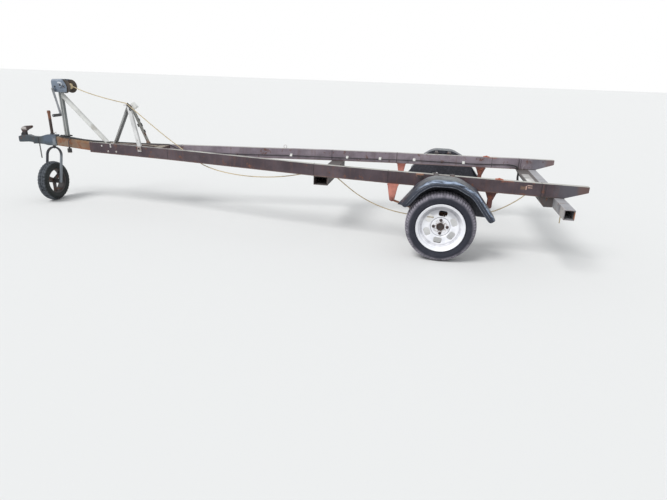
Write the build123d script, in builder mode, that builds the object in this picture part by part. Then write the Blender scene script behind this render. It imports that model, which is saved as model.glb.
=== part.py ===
from build123d import *
from math import atan2, cos, pi, radians, sin, tan
import os

os.makedirs("parts", exist_ok=True)

# A single-axle boat trailer, parked on its jockey wheel. Millimetres, +Z up, +X to the rear,
# the trailer's left side at -Y. The origin is on the ground, about the middle of its length.

# Overall reach and the axle's place
coupler_tip = -2801
tail_x = 2832
axle_x = 1735

# Rails: straight lengths welded end to end. Columns: x of the seam, half width over the rails
rail_top = 640
rail_height = 106
rail_width = 50
rail_wall = 4
rail_seams = [
    (-1925, 38),
    (-965, 169),
    (595, 441),
    (1265, 526),
    (2490, 627),
    (tail_x, 648),
]
tail_taper_x = 2655
tail_tip_height = 45
rail_bottom = rail_top - rail_height

# Drawbar between the rails' front ends: it rises ahead of them
drawbar_width = 50
drawbar_height = 92
drawbar_wall = 4
drawbar_front = -2435
drawbar_rear = -1165
kink_x = -1925
drawbar_rise = 0.0752
spacer_length = 80

# Cross members below the rails
cross_height = 79
cross_wall = 6
front_cross_x = 597
front_cross_length = 128
rear_cross_x = 2470
rear_cross_length = 120
rear_cross_slope = 55
beam_x = 2591
beam_size = 75
beam_half = 1000
beam_wall = 4

# Coupler for a 50 mm ball
ball_diameter = 50
head_width = 66
neck_width = 46
coupler_sleeve_x = -2326
sleeve_wall = 6
socket_bottom = 594
socket_length = 20

# Safety chain below the coupler's neck
chain_x = -2562
chain_top = 585
link_count = 9
link_pitch = 17
link_wire = 2.5
link_half = 7
link_side = 5

# Jockey wheel, turned on its stem, with its wheel ahead of the stem
jockey_x = -2385
jockey_steer = -88
jockey_trail = 90
jockey_radius = 207.5
jockey_half = 52.5
jockey_rim_radius = 128
jockey_hub_half = 62
jockey_sides = 40
sleeve_outer = 40
sleeve_bore = 30
sleeve_bottom = 573
stem_diameter = 29.4
stem_top = 935
crown_top = 562
fork_inside = 160
fork_bar = 30
fork_gauge = 6

# Winch post, its brace and the winch
post_x = -2203
post_size = 35
post_wall = 3
winch_bottom = 1130
winch_top = 1256
winch_width = 120
winch_gauge = 5
brace_top_z = 1094
brace_foot_x = -1735
brace_diameter = 48
crank_x = -2224
crank_z = 1160
crank_length = 257
crank_lean = 11.7
grip_end_y = 200
drum_x = -2108
drum_z = 1187
drum_core = 18
drum_flange = 66
winding_radius = 27

# Bow stop on its tripod
head_plate_z = 1028
leg_width = 36
leg_flange = 24
leg_gauge = 4

# Wheels: 14 inch rims on 175/60 tyres
wheel_radius = 281
tyre_half = 88.5
tyre_sides = 48
rim_radius = 195
rim_seat = 177.4
rim_half = 82
wheel_face_y = 885
rim_y = wheel_face_y - rim_half
stud_circle = 108
stud_count = 4
stud_hole = 13
centre_bore = 63.4
window_count = 6
window_circle = 222
window_turn = 24

# Springs, hangers and axle
spring_y = 540
spring_width = 45
leaf = 7
spring_x = 1718
shackle_pin_z = 478
axle_size = 45
spring_radius = 1227
spring_low_z = wheel_radius + axle_size / 2 + 30


def side_plane(x, y, z):
    # A plane that faces the left side, with its x to the rear and its y up.
    return Plane(origin=(x, y, z), x_dir=(1, 0, 0), z_dir=(0, -1, 0))


def rail_half_width(x):
    # Half width over the rails at x, on the straight between two seams.
    for (x0, w0), (x1, w1) in zip(rail_seams, rail_seams[1:]):
        if x <= x1:
            return w0 + (w1 - w0) * (x - x0) / (x1 - x0)
    return rail_seams[-1][1]


def rail_face(x, side, z):
    # A plane on a rail's outer face: z outwards, y up, x along the rail.
    turn = atan2(rail_half_width(x + 1) - rail_half_width(x - 1), 2)
    return Plane(
        origin=(x, side * rail_half_width(x), z),
        x_dir=(-side * cos(turn), -sin(turn), 0),
        z_dir=(-sin(turn), side * cos(turn), 0),
    )


def drawbar_top(x):
    # Height of the drawbar's top at x: level behind the kink, rising ahead of it.
    return rail_top + max(0, kink_x - x) * drawbar_rise


def bend_radii(points):
    # 0.45 of the shorter run over the tangent of half the turn, at each inner point.
    radii = []
    for before, here, after in zip(points, points[1:], points[2:]):
        run_in = Vector(*here) - Vector(*before)
        run_out = Vector(*after) - Vector(*here)
        turn = radians(run_in.get_angle(run_out))
        radii.append(0.45 * min(run_in.length, run_out.length) / tan(turn / 2))
    return radii


# Rails, one on each side, hollow up to the tail's taper, their front ends cut to the drawbar's side
for side, name in ((-1, "rail_left"), (1, "rail_right")):
    outer = [(x, side * w) for x, w in rail_seams]
    inner = [(x, side * (w - rail_width)) for x, w in reversed(rail_seams)]
    void_x = [seam[0] for seam in rail_seams[1:-1]] + [tail_taper_x - 60]
    void_outer = [(x, side * (rail_half_width(x) - rail_wall)) for x in void_x]
    void_inner = [(x, side * (rail_half_width(x) - rail_width + rail_wall)) for x in reversed(void_x)]
    with BuildPart() as rail:
        with BuildSketch(Plane.XY.offset(rail_bottom)):
            with BuildLine():
                Polyline(*outer, *inner, close=True)
            make_face()
            with Locations((-1450, side * (drawbar_width / 2 - 150))):
                Rectangle(1200, 300, mode=Mode.SUBTRACT)
        extrude(amount=rail_height)
        with BuildSketch(Plane.XY.offset(rail_bottom + rail_wall)):
            with BuildLine():
                Polyline(*void_outer, *void_inner, close=True)
            make_face()
        extrude(amount=rail_height - 2 * rail_wall, mode=Mode.SUBTRACT)
        with BuildSketch(Plane.XZ.offset(-side * 500)):
            with BuildLine():
                Polyline(
                    (tail_taper_x, rail_bottom),
                    (tail_x + 1, rail_bottom),
                    (tail_x + 1, rail_top - tail_tip_height),
                    close=True,
                )
            make_face()
        extrude(amount=-side * 300, mode=Mode.SUBTRACT)
    rail.part.label = name
    export_step(rail.part, f"parts/{name}.step")

# Drawbar: a box section bent up at the rails' front ends, with a cross hole for the jockey wheel's
# sleeve, and a spacer that closes its rear end between the rails
spacer_front = rail_half_width(drawbar_rear) - rail_width
spacer_back = rail_half_width(drawbar_rear + spacer_length) - rail_width


def drawbar_outline(front, inset):
    # The drawbar's side view from x = front to its rear end, with its top and bottom moved in by inset.
    top = [(x, drawbar_top(x) - inset) for x in (front, kink_x, drawbar_rear)]
    bottom = [(x, drawbar_top(x) - drawbar_height + inset) for x in (drawbar_rear, kink_x, front)]
    return top + bottom


with BuildPart() as drawbar:
    with BuildSketch(Plane.XZ.offset(-drawbar_width / 2)):
        with BuildLine():
            Polyline(*drawbar_outline(drawbar_front, 0), close=True)
        make_face()
    extrude(amount=drawbar_width)
    with BuildSketch(Plane.XZ.offset(-drawbar_width / 2 + drawbar_wall)):
        with BuildLine():
            Polyline(*drawbar_outline(drawbar_front - 1, drawbar_wall), close=True)
        make_face()
    extrude(amount=drawbar_width - 2 * drawbar_wall, mode=Mode.SUBTRACT)
    with BuildSketch(Plane.XY.offset(rail_top - drawbar_height + 6)):
        with BuildLine():
            Polyline(
                (drawbar_rear - 6, -spacer_front + 1),
                (drawbar_rear + spacer_length, -spacer_back),
                (drawbar_rear + spacer_length, spacer_back),
                (drawbar_rear - 6, spacer_front - 1),
                close=True,
            )
        make_face()
    extrude(amount=drawbar_height - 12)
    with Locations((jockey_x, 0, drawbar_top(jockey_x))):
        Hole(sleeve_outer / 2, depth=drawbar_height + 20)
drawbar.part.label = "drawbar"
export_step(drawbar.part, "parts/drawbar.step")

# Front cross member: a box section with open ends, below the rails
front_cross_half = rail_half_width(front_cross_x)
with BuildPart() as front_cross:
    with Locations((front_cross_x + front_cross_length / 2, 0, rail_bottom - cross_height / 2)):
        Box(front_cross_length, 2 * front_cross_half, cross_height)
        Box(
            front_cross_length - 2 * cross_wall,
            2 * front_cross_half + 2,
            cross_height - 2 * cross_wall,
            mode=Mode.SUBTRACT,
        )
front_cross.part.label = "front_cross_member"
export_step(front_cross.part, "parts/front_cross_member.step")

# Rear cross member: a folded box with a sloped front, open at its ends
rear_cross_half = rail_half_width(rear_cross_x)
with BuildPart() as rear_cross:
    with BuildSketch(Plane.XZ.offset(-rear_cross_half)):
        with BuildLine():
            Polyline(
                (rear_cross_x, rail_bottom),
                (rear_cross_x + rear_cross_length, rail_bottom),
                (rear_cross_x + rear_cross_length, rail_bottom - cross_height),
                (rear_cross_x + rear_cross_slope, rail_bottom - cross_height),
                close=True,
            )
        make_face()
        offset(amount=-cross_wall, mode=Mode.SUBTRACT)
    extrude(amount=2 * rear_cross_half)
rear_cross.part.label = "rear_cross_member"
export_step(rear_cross.part, "parts/rear_cross_member.step")

# Rear beam: an open box section that runs out past the rails
with BuildPart() as beam:
    with Locations((beam_x + beam_size / 2, 0, rail_bottom - beam_size / 2)):
        Box(beam_size, 2 * beam_half, beam_size)
        Box(beam_size - 2 * beam_wall, 2 * beam_half + 2, beam_size - 2 * beam_wall, mode=Mode.SUBTRACT)
beam.part.label = "rear_beam"
export_step(beam.part, "parts/rear_beam.step")

# Coupler: a cast head with a ball cup below, a narrow neck, and a sleeve over the drawbar.
# Its side view is cut to its plan.
cup_x = coupler_tip + head_width / 2
cup_z = socket_bottom + socket_length
ball_room = ball_diameter / 2 + 0.5
rising = (Align.CENTER, Align.CENTER, Align.MIN)
sleeve_top = drawbar_top(coupler_sleeve_x) + 20
sleeve_half = drawbar_width / 2 + sleeve_wall
with BuildPart() as coupler:
    with BuildSketch(Plane.XZ.offset(-head_width / 2)):
        with BuildLine():
            Polyline(
                (coupler_tip, socket_bottom),
                (coupler_tip, 642),
                (-2739, 667),
                (-2670, 671),
                (-2622, 659),
                (-2546, 657),
                (-2485, 672),
                (-2430, 688),
                (coupler_sleeve_x, sleeve_top),
                (coupler_sleeve_x, 575),
                (-2428, 575),
                (-2481, 584),
                (-2552, 585),
                (-2613, 581),
                (-2618, 596),
                (-2668, 600),
                (-2750, socket_bottom),
                close=True,
            )
        make_face()
    extrude(amount=head_width)
    with BuildSketch(Plane.XY.offset(560)):
        with Locations((cup_x, 0)):
            Circle(head_width / 2)
        with BuildLine():
            Polyline(
                (cup_x, -head_width / 2),
                (-2690, -head_width / 2 + 3),
                (-2640, -neck_width / 2),
                (-2540, -neck_width / 2),
                (-2460, -sleeve_half),
                (coupler_sleeve_x, -sleeve_half),
                (coupler_sleeve_x, sleeve_half),
                (-2460, sleeve_half),
                (-2540, neck_width / 2),
                (-2640, neck_width / 2),
                (-2690, head_width / 2 - 3),
                (cup_x, head_width / 2),
                close=True,
            )
        make_face()
    extrude(amount=160, mode=Mode.INTERSECT)
    with Locations((cup_x, 0, socket_bottom - 1)):
        Cylinder(ball_room, socket_length + 1, align=rising, mode=Mode.SUBTRACT)
    with Locations((cup_x, 0, cup_z)):
        Sphere(ball_room, mode=Mode.SUBTRACT)
    with BuildSketch(Plane.XZ.offset(-drawbar_width / 2)):
        with BuildLine():
            Polyline(*drawbar_outline(drawbar_front, 0), close=True)
        make_face()
    extrude(amount=drawbar_width, mode=Mode.SUBTRACT)
    with Locations((jockey_x, 0, sleeve_top)):
        Hole(sleeve_outer / 2, depth=160)
coupler.part.label = "coupler"
export_step(coupler.part, "parts/coupler.step")

# Coupler lever on its block, latched down
lever_width = 28
with BuildPart() as lever:
    with BuildSketch(Plane.XZ.offset(-lever_width / 2)):
        with BuildLine():
            Polyline(
                (-2764, 650),
                (-2762, 676),
                (-2742, 700),
                (-2756, 732),
                (-2735, 751),
                (-2703, 762),
                (-2621, 770),
                (-2615, 758),
                (-2626, 744),
                (-2673, 722),
                (-2698, 704),
                (-2696, 668),
                (-2712, 664),
                close=True,
            )
        make_face()
    extrude(amount=lever_width)
    with BuildSketch(Plane.XZ.offset(-head_width / 2)):
        with BuildLine():
            Polyline(
                (coupler_tip - 1, 560),
                (coupler_tip - 1, 642),
                (coupler_tip, 642),
                (-2739, 667),
                (-2670, 671),
                (-2670, 560),
                close=True,
            )
        make_face()
    extrude(amount=head_width, mode=Mode.SUBTRACT)
lever.part.label = "coupler_lever"
export_step(lever.part, "parts/coupler_lever.step")

# Safety chain: six-sided links one below another, each turned a quarter from the last
link_reach = link_half + link_side - 2
with BuildPart() as chain:
    for k in range(link_count):
        middle = Vector(chain_x, 0, chain_top - link_reach - link_wire - k * link_pitch)
        across = (1, 0, 0) if k % 2 else (0, 1, 0)
        link_plane = Plane(origin=middle, x_dir=(0, 0, 1), z_dir=across)
        with BuildLine(link_plane) as ring:
            Polyline(
                (0, -link_side),
                (link_half, -link_side),
                (link_reach, 0),
                (link_half, link_side),
                (-link_half, link_side),
                (-link_reach, 0),
                (-link_half, -link_side),
                close=True,
            )
        with BuildSketch(Plane(origin=ring.line @ 0, z_dir=ring.line % 0)):
            RegularPolygon(link_wire, 6)
        sweep(path=ring.line, transition=Transition.RIGHT)
chain.part.label = "safety_chain"
export_step(chain.part, "parts/safety_chain.step")

# Jockey wheel sleeve, welded through the drawbar and the coupler
with BuildPart() as sleeve:
    with BuildSketch(Plane.XY.offset(sleeve_bottom)):
        with Locations((jockey_x, 0)):
            Circle(sleeve_outer / 2)
            Circle(sleeve_bore / 2, mode=Mode.SUBTRACT)
    extrude(amount=sleeve_top + 12 - sleeve_bottom)
sleeve.part.label = "jockey_sleeve"
export_step(sleeve.part, "parts/jockey_sleeve.step")

# Jockey stem: a plain bar that slides in the sleeve, with a pin below for the fork
fork_pin = 8
pin_length = 22
with BuildPart() as stem:
    with Locations((jockey_x, 0, crown_top)):
        Cylinder(stem_diameter / 2, stem_top - crown_top, align=(Align.CENTER, Align.CENTER, Align.MIN))
    with Locations((jockey_x, 0, crown_top - pin_length)):
        Cylinder(fork_pin, pin_length + 8, align=(Align.CENTER, Align.CENTER, Align.MIN))
stem.part.label = "jockey_stem"
export_step(stem.part, "parts/jockey_stem.step")

# Jockey fork: one flat bar bent to a hoop that leans from the stem to the wheel's centre
jockey_plane = Plane(
    origin=(jockey_x, 0, 0),
    x_dir=(cos(radians(jockey_steer)), sin(radians(jockey_steer)), 0),
    z_dir=(0, 0, 1),
)
jockey_centre = jockey_plane.from_local_coords((jockey_trail, 0, jockey_radius))
crown_point = jockey_plane.from_local_coords((0, 0, crown_top - 6))
fork_reach = (crown_point - jockey_centre).length
fork_radius = fork_inside / 2 + fork_gauge
leg_up = (crown_point - jockey_centre).normalized()
fork_plane = Plane(
    origin=jockey_centre,
    x_dir=jockey_plane.y_dir,
    z_dir=jockey_plane.y_dir.cross(leg_up),
)
axle_face = Plane(origin=jockey_centre, x_dir=jockey_plane.x_dir, z_dir=jockey_plane.y_dir)
with BuildPart() as fork:
    with BuildSketch(fork_plane.offset(-fork_bar / 2)):
        with Locations((0, fork_reach - fork_radius)):
            Circle(fork_radius)
            Circle(fork_radius - fork_gauge, mode=Mode.SUBTRACT)
            Rectangle(2 * fork_radius, fork_radius, align=(Align.CENTER, Align.MAX), mode=Mode.SUBTRACT)
        for lean in (-1, 1):
            with Locations((lean * (fork_radius - fork_gauge / 2), fork_reach - fork_radius)):
                Rectangle(fork_gauge, fork_reach - fork_radius + 14, align=(Align.CENTER, Align.MAX))
    extrude(amount=fork_bar)
    with Locations((jockey_x, 0, crown_top - 0.2)):
        Cylinder(17, 18, align=(Align.CENTER, Align.CENTER, Align.MAX))
    with Locations((jockey_x, 0, crown_top + 1)):
        Cylinder(fork_pin + 0.1, 60, align=(Align.CENTER, Align.CENTER, Align.MAX), mode=Mode.SUBTRACT)
    with BuildSketch(axle_face.offset(-fork_inside / 2 - 14)):
        Circle(6)
    extrude(amount=fork_inside + 28)
    for cheek_start in (-fork_inside / 2 - fork_gauge, fork_inside / 2):
        with BuildSketch(axle_face.offset(cheek_start)):
            Circle(20)
        extrude(amount=fork_gauge)
fork.part.label = "jockey_fork"
export_step(fork.part, "parts/jockey_fork.step")

# Jockey wheel: a rim with three spokes on a long hub
with BuildPart() as jockey_rim:
    with BuildSketch(axle_face.offset(-38)):
        Circle(jockey_rim_radius)
        Circle(jockey_rim_radius - 8, mode=Mode.SUBTRACT)
    extrude(amount=76)
    with BuildSketch(axle_face.offset(-8)):
        with PolarLocations(0, 3, start_angle=30):
            Rectangle(jockey_rim_radius - 4, 44, align=(Align.MIN, Align.CENTER))
    extrude(amount=16)
    with BuildSketch(axle_face.offset(-jockey_hub_half)):
        Circle(24)
    extrude(amount=2 * jockey_hub_half)
    with BuildSketch(axle_face.offset(-jockey_hub_half - 1)):
        Circle(6.1)
    extrude(amount=2 * jockey_hub_half + 2, mode=Mode.SUBTRACT)
jockey_rim.part.label = "jockey_rim"
export_step(jockey_rim.part, "parts/jockey_rim.step")

# Jockey tyre. Columns: out along the axle from the tyre's middle, radius over the flats
jockey_outside = [(-jockey_half, 170), (-44, 190), (-30, 203), (0, jockey_radius),
                  (30, 203), (44, 190), (jockey_half, 170)]
jockey_inside = [(-jockey_half - 1, 160), (-38, 128.3), (38, 128.3), (jockey_half + 1, 160)]
with BuildPart() as jockey_tyre:
    for out, radius in jockey_outside:
        with BuildSketch(axle_face.offset(out)):
            RegularPolygon(radius, jockey_sides, major_radius=False, rotation=180 / jockey_sides)
    loft(ruled=True)
    for out, radius in jockey_inside:
        with BuildSketch(axle_face.offset(out)):
            RegularPolygon(radius, jockey_sides, major_radius=False, rotation=180 / jockey_sides)
    loft(ruled=True, mode=Mode.SUBTRACT)
jockey_tyre.part.label = "jockey_tyre"
export_step(jockey_tyre.part, "parts/jockey_tyre.step")

# Winch post: an upright square tube on the drawbar's slope
slope_plane = Plane(
    origin=(post_x, 0, drawbar_top(post_x)),
    x_dir=(1, 0, -drawbar_rise),
    z_dir=(drawbar_rise, 0, 1),
)
with BuildPart() as post:
    with BuildSketch(Plane(origin=(post_x, 0, drawbar_top(post_x) - 10), z_dir=(0, 0, 1))):
        Rectangle(post_size, post_size)
        Rectangle(post_size - 2 * post_wall, post_size - 2 * post_wall, mode=Mode.SUBTRACT)
    extrude(amount=winch_bottom - drawbar_top(post_x) + 10)
    split(bisect_by=slope_plane, keep=Keep.TOP)
post.part.label = "winch_post"
export_step(post.part, "parts/winch_post.step")

# Brace from the post down to the drawbar: a round pipe cut to both
post_back = post_x + post_size / 2
brace_top = Vector(post_back, 0, brace_top_z)
brace_foot = Vector(brace_foot_x, 0, rail_top)
brace_way = (brace_foot - brace_top).normalized()
with BuildPart() as brace:
    with BuildSketch(Plane(origin=brace_top - brace_way * 80, z_dir=brace_way)):
        Circle(brace_diameter / 2)
        Circle(brace_diameter / 2 - post_wall, mode=Mode.SUBTRACT)
    extrude(amount=(brace_foot - brace_top).length + 160)
    split(bisect_by=Plane.XY.offset(rail_top), keep=Keep.TOP)
    split(bisect_by=Plane(origin=brace_top, z_dir=(1, 0, 0)), keep=Keep.TOP)
brace.part.label = "winch_brace"
export_step(brace.part, "parts/winch_brace.step")

# Tripod of angle iron that carries the bow stop: a front leg on the drawbar and one leg on each rail
# Columns: name, x at the top, half spread at the top, x at the foot, side
legs = [
    ("front", -1452, 0, -1655, 0),
    ("left", -1432, 30, -1290, -1),
    ("right", -1436, 30, -1338, 1),
]
foot_block = 8
foot_height = 62
foot_low_z = 590
leg_lift = 5
for leg_name, top_x, spread, foot_x, side in legs:
    leg_top = Vector(top_x, side * spread, head_plate_z)
    if side:
        leg_foot = Vector(foot_x, side * (rail_half_width(foot_x) + foot_block), rail_top)
    else:
        leg_foot = Vector(foot_x, 0, rail_top)
    way = (leg_foot - leg_top).normalized()
    leg_plane = Plane(origin=leg_top - way * 30, x_dir=(1, 0, 0) if side else (0, 1, 0), z_dir=way)
    inward = -1 if side < 0 else 1
    with BuildPart() as leg:
        with BuildSketch(leg_plane):
            Rectangle(leg_width, leg_gauge)
            with Locations((leg_width / 2 - leg_gauge / 2, inward * (leg_gauge / 2 - 0.5))):
                Rectangle(leg_gauge, leg_flange, align=(Align.CENTER, Align.MIN if inward > 0 else Align.MAX))
        extrude(amount=(leg_foot - leg_top).length + 60)
        split(bisect_by=Plane.XY.offset(head_plate_z), keep=Keep.BOTTOM)
        split(bisect_by=Plane.XY.offset(rail_top + (leg_lift if side else 0)), keep=Keep.TOP)
        if side:
            with BuildSketch(rail_face(foot_x, side, foot_low_z + foot_height / 2)):
                Rectangle(leg_width + 6, foot_height)
            extrude(amount=foot_block + 2)
            with BuildSketch(rail_face(foot_x, side, foot_low_z + 32)):
                Circle(9)
            extrude(amount=foot_block + 11)
    leg.part.label = f"bow_leg_{leg_name}"
    export_step(leg.part, f"parts/bow_leg_{leg_name}.step")

# Bow stop: a head plate over the legs, with a tongue to the tilted pad behind it
head_plate = 6
pad_half = 24
with BuildPart() as bow_stop:
    with Locations((-1475, 0, head_plate_z)):
        Box(33, 90, head_plate, align=(Align.MIN, Align.CENTER, Align.MIN))
        Box(70, 44, head_plate, align=(Align.MIN, Align.CENTER, Align.MIN))
    with BuildSketch(Plane.XZ.offset(-pad_half)):
        with BuildLine():
            Polyline((-1391, 1059), (-1343, 1018), (-1380, 991), (-1412, 1022), close=True)
        make_face()
    extrude(amount=2 * pad_half)
    fillet(bow_stop.edges().filter_by(Axis.Y).sort_by(Axis.X)[-2:], radius=8)
bow_stop.part.label = "bow_stop"
export_step(bow_stop.part, "parts/bow_stop.step")

# Winch frame: two side plates on a base. The left one carries a round gear boss and the crank's bearing
winch_front = -2252
winch_rear = -2088
base_rear = -2180
top_length = base_rear - winch_front - 14
boss_depth = 15
# Columns: x, z, radius, depth
bosses = [(-2149, 1204, 28, boss_depth), (-2149, 1204, 11, boss_depth + 3),
          (crank_x, crank_z, 17, boss_depth), (drum_x, drum_z, 14, 6)]
with BuildPart() as winch:
    for y in (-winch_width / 2, winch_width / 2 - winch_gauge):
        with BuildSketch(Plane.XZ.offset(-y)):
            with BuildLine():
                Polyline(
                    (winch_front, winch_bottom + 8),
                    (winch_front + 8, winch_bottom),
                    (winch_rear, winch_bottom),
                    (winch_rear + 8, drum_z),
                    (winch_rear - 6, drum_z + 32),
                    (winch_rear - 34, winch_top),
                    (winch_front + 14, winch_top),
                    (winch_front, winch_top - 14),
                    close=True,
                )
            make_face()
        extrude(amount=-winch_gauge)
    with Locations((winch_front, 0, winch_bottom)):
        Box(base_rear - winch_front, winch_width, winch_gauge, align=(Align.MIN, Align.CENTER, Align.MIN))
    with Locations((winch_front + 14, 0, winch_top - winch_gauge)):
        Box(top_length, winch_width, winch_gauge, align=(Align.MIN, Align.CENTER, Align.MIN))
    for x, z, radius, depth in bosses:
        with BuildSketch(side_plane(x, -winch_width / 2, z)):
            Circle(radius)
        extrude(amount=depth)
    with BuildSketch(side_plane(0, winch_width / 2 + 1, 0)):
        with Locations((crank_x, crank_z), (drum_x, drum_z)):
            Circle(8.2)
    extrude(amount=winch_width + boss_depth + 10, mode=Mode.SUBTRACT)
winch.part.label = "winch_frame"
export_step(winch.part, "parts/winch_frame.step")

# Winch drum: a thin core between two flanges, with the rope's last turns wound on its right half
drum_half = winch_width / 2 - winch_gauge - 3
with BuildPart() as drum:
    for y in (drum_half, 3 - drum_half):
        with BuildSketch(side_plane(drum_x, y, drum_z)):
            Circle(drum_flange)
        extrude(amount=3)
    with BuildSketch(side_plane(drum_x, drum_half, drum_z)):
        Circle(drum_core)
    extrude(amount=2 * drum_half)
    with BuildSketch(side_plane(drum_x, drum_half, drum_z)):
        Circle(winding_radius)
    extrude(amount=drum_half - 2)
    with BuildSketch(side_plane(drum_x, winch_width / 2 + 6, drum_z)):
        Circle(8)
    extrude(amount=winch_width + 16)
drum.part.label = "winch_drum"
export_step(drum.part, "parts/winch_drum.step")

# Winch crank hanging down on the left: shaft, arm and grip
arm_y = -winch_width / 2 - boss_depth - 9
with BuildPart() as crank:
    with BuildSketch(side_plane(crank_x, winch_width / 2 + 8, crank_z)):
        Circle(8)
    extrude(amount=winch_width / 2 + 8 - arm_y + 8)
    crank_face = Plane(
        origin=(crank_x, arm_y, crank_z),
        x_dir=(cos(radians(crank_lean)), 0, sin(radians(crank_lean))),
        z_dir=(0, -1, 0),
    )
    with BuildSketch(crank_face):
        with Locations((0, -crank_length / 2)):
            SlotOverall(crank_length + 26, 26, rotation=90)
    extrude(amount=6)
    with BuildSketch(crank_face):
        with Locations((0, -crank_length)):
            Circle(6)
    extrude(amount=grip_end_y + arm_y)
    with BuildSketch(crank_face.offset(14)):
        with Locations((0, -crank_length)):
            Circle(15)
    extrude(amount=grip_end_y + arm_y - 16)
crank.part.label = "winch_crank"
export_step(crank.part, "parts/winch_crank.step")

# Axle: a square beam with round stub ends, and a spring seat with four bolts on each side
stub_diameter = 34
stub_end = 838
beam_end = 716
# Half length of each leaf along its arc, from the longest down
leaf_halves = [413, 330, 250, 170]
with BuildPart() as axle:
    with Locations((axle_x, 0, wheel_radius)):
        Box(axle_size, 2 * beam_end, axle_size)
    with BuildSketch(side_plane(axle_x, stub_end, wheel_radius)):
        Circle(stub_diameter / 2)
    extrude(amount=2 * stub_end)
    for side in (-1, 1):
        with Locations((axle_x, side * spring_y, wheel_radius + axle_size / 2 - 1)):
            Box(110, 66, spring_low_z - wheel_radius - axle_size / 2 - len(leaf_halves) * leaf + 1,
                align=(Align.CENTER, Align.CENTER, Align.MIN))
        with Locations((axle_x, side * spring_y, spring_low_z + 2.5)):
            Box(110, 70, 8, align=(Align.CENTER, Align.CENTER, Align.MIN))
        with Locations((axle_x, side * spring_y, wheel_radius - axle_size / 2 + 1)):
            Box(100, 66, 7, align=(Align.CENTER, Align.CENTER, Align.MAX))
        with BuildSketch(Plane.XY.offset(wheel_radius - axle_size / 2 - 14)):
            with Locations((axle_x, side * spring_y)):
                with GridLocations(68, 56, 2, 2):
                    RegularPolygon(5.5, 8)
        extrude(amount=spring_low_z - wheel_radius + axle_size / 2 + 30)
axle.part.label = "axle"
export_step(axle.part, "parts/axle.step")

# Leaf springs: each leaf an arc below the last, with an eye rolled at both ends of the longest
spring_centre_z = spring_low_z + spring_radius
eye_turn = leaf_halves[0] / spring_radius
eye_reach = (spring_radius - 8) * sin(eye_turn)
eye_z = spring_centre_z - (spring_radius - 8) * cos(eye_turn)
for side, side_name in ((-1, "left"), (1, "right")):
    face_y = side * spring_y + spring_width / 2
    with BuildPart() as spring:
        with BuildSketch(Plane.XZ.offset(-face_y)):
            for k, half in enumerate(leaf_halves):
                near = spring_radius + k * leaf
                far = near + leaf
                turn = half / spring_radius
                with BuildLine():
                    near_arc = ThreePointArc(
                        (spring_x - near * sin(turn), spring_centre_z - near * cos(turn)),
                        (spring_x, spring_centre_z - near),
                        (spring_x + near * sin(turn), spring_centre_z - near * cos(turn)),
                    )
                    far_arc = ThreePointArc(
                        (spring_x - far * sin(turn), spring_centre_z - far * cos(turn)),
                        (spring_x, spring_centre_z - far),
                        (spring_x + far * sin(turn), spring_centre_z - far * cos(turn)),
                    )
                    Line(near_arc @ 0, far_arc @ 0)
                    Line(near_arc @ 1, far_arc @ 1)
                make_face()
            with Locations((spring_x - eye_reach, eye_z), (spring_x + eye_reach, eye_z)):
                Circle(16)
                Circle(8, mode=Mode.SUBTRACT)
        extrude(amount=spring_width)
    spring.part.label = f"spring_{side_name}"
    export_step(spring.part, f"parts/spring_{side_name}.step")

# Spring hangers. Front: two cheeks below a pad on the rail. Rear: the same with a swinging shackle
cheek_gap = spring_width + 2
cheek = 6
shackle_plate = 5
for side, side_name in ((-1, "left"), (1, "right")):
    hanger_ends = (("front", spring_x - eye_reach, eye_z), ("rear", spring_x + eye_reach, shackle_pin_z))
    for end_name, x, pin_z in hanger_ends:
        rail_middle = rail_half_width(x) - rail_width / 2
        pad_near = min(spring_y - cheek_gap / 2 - cheek, rail_middle - 20)
        pad_far = max(spring_y + cheek_gap / 2 + cheek, rail_middle + 20)
        with BuildPart() as hanger:
            with Locations((x, side * (pad_near + pad_far) / 2, rail_bottom)):
                Box(96, pad_far - pad_near, 6, align=(Align.CENTER, Align.CENTER, Align.MAX))
            for y in (spring_y - cheek_gap / 2 - cheek, spring_y + cheek_gap / 2):
                with BuildSketch(side_plane(x, side * y if side < 0 else y + cheek, 0)):
                    with BuildLine():
                        Polyline(
                            (-44, rail_bottom - 6),
                            (44, rail_bottom - 6),
                            (20, pin_z - 12),
                            (-20, pin_z - 12),
                            close=True,
                        )
                    make_face()
                    with Locations((0, pin_z)):
                        Circle(20)
                extrude(amount=cheek)
            with BuildSketch(side_plane(x, side * spring_y + cheek_gap / 2 + cheek + 8, pin_z)):
                Circle(7.8)
            extrude(amount=cheek_gap + 2 * cheek + 16)
            if end_name == "rear":
                for y in (-spring_y - cheek_gap / 2 - cheek - 5.5, -spring_y + cheek_gap / 2 + cheek + 0.5):
                    plate_y = y if side < 0 else y + 2 * spring_y
                    with BuildSketch(side_plane(x, plate_y + shackle_plate, (pin_z + eye_z) / 2)):
                        SlotOverall(pin_z - eye_z + 34, 34, rotation=90)
                    extrude(amount=shackle_plate)
                with BuildSketch(side_plane(x, side * spring_y + cheek_gap / 2 + cheek + 8, eye_z)):
                    Circle(7.8)
                extrude(amount=cheek_gap + 2 * cheek + 16)
        hanger.part.label = f"hanger_{end_name}_{side_name}"
        export_step(hanger.part, f"parts/hanger_{end_name}_{side_name}.step")

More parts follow.
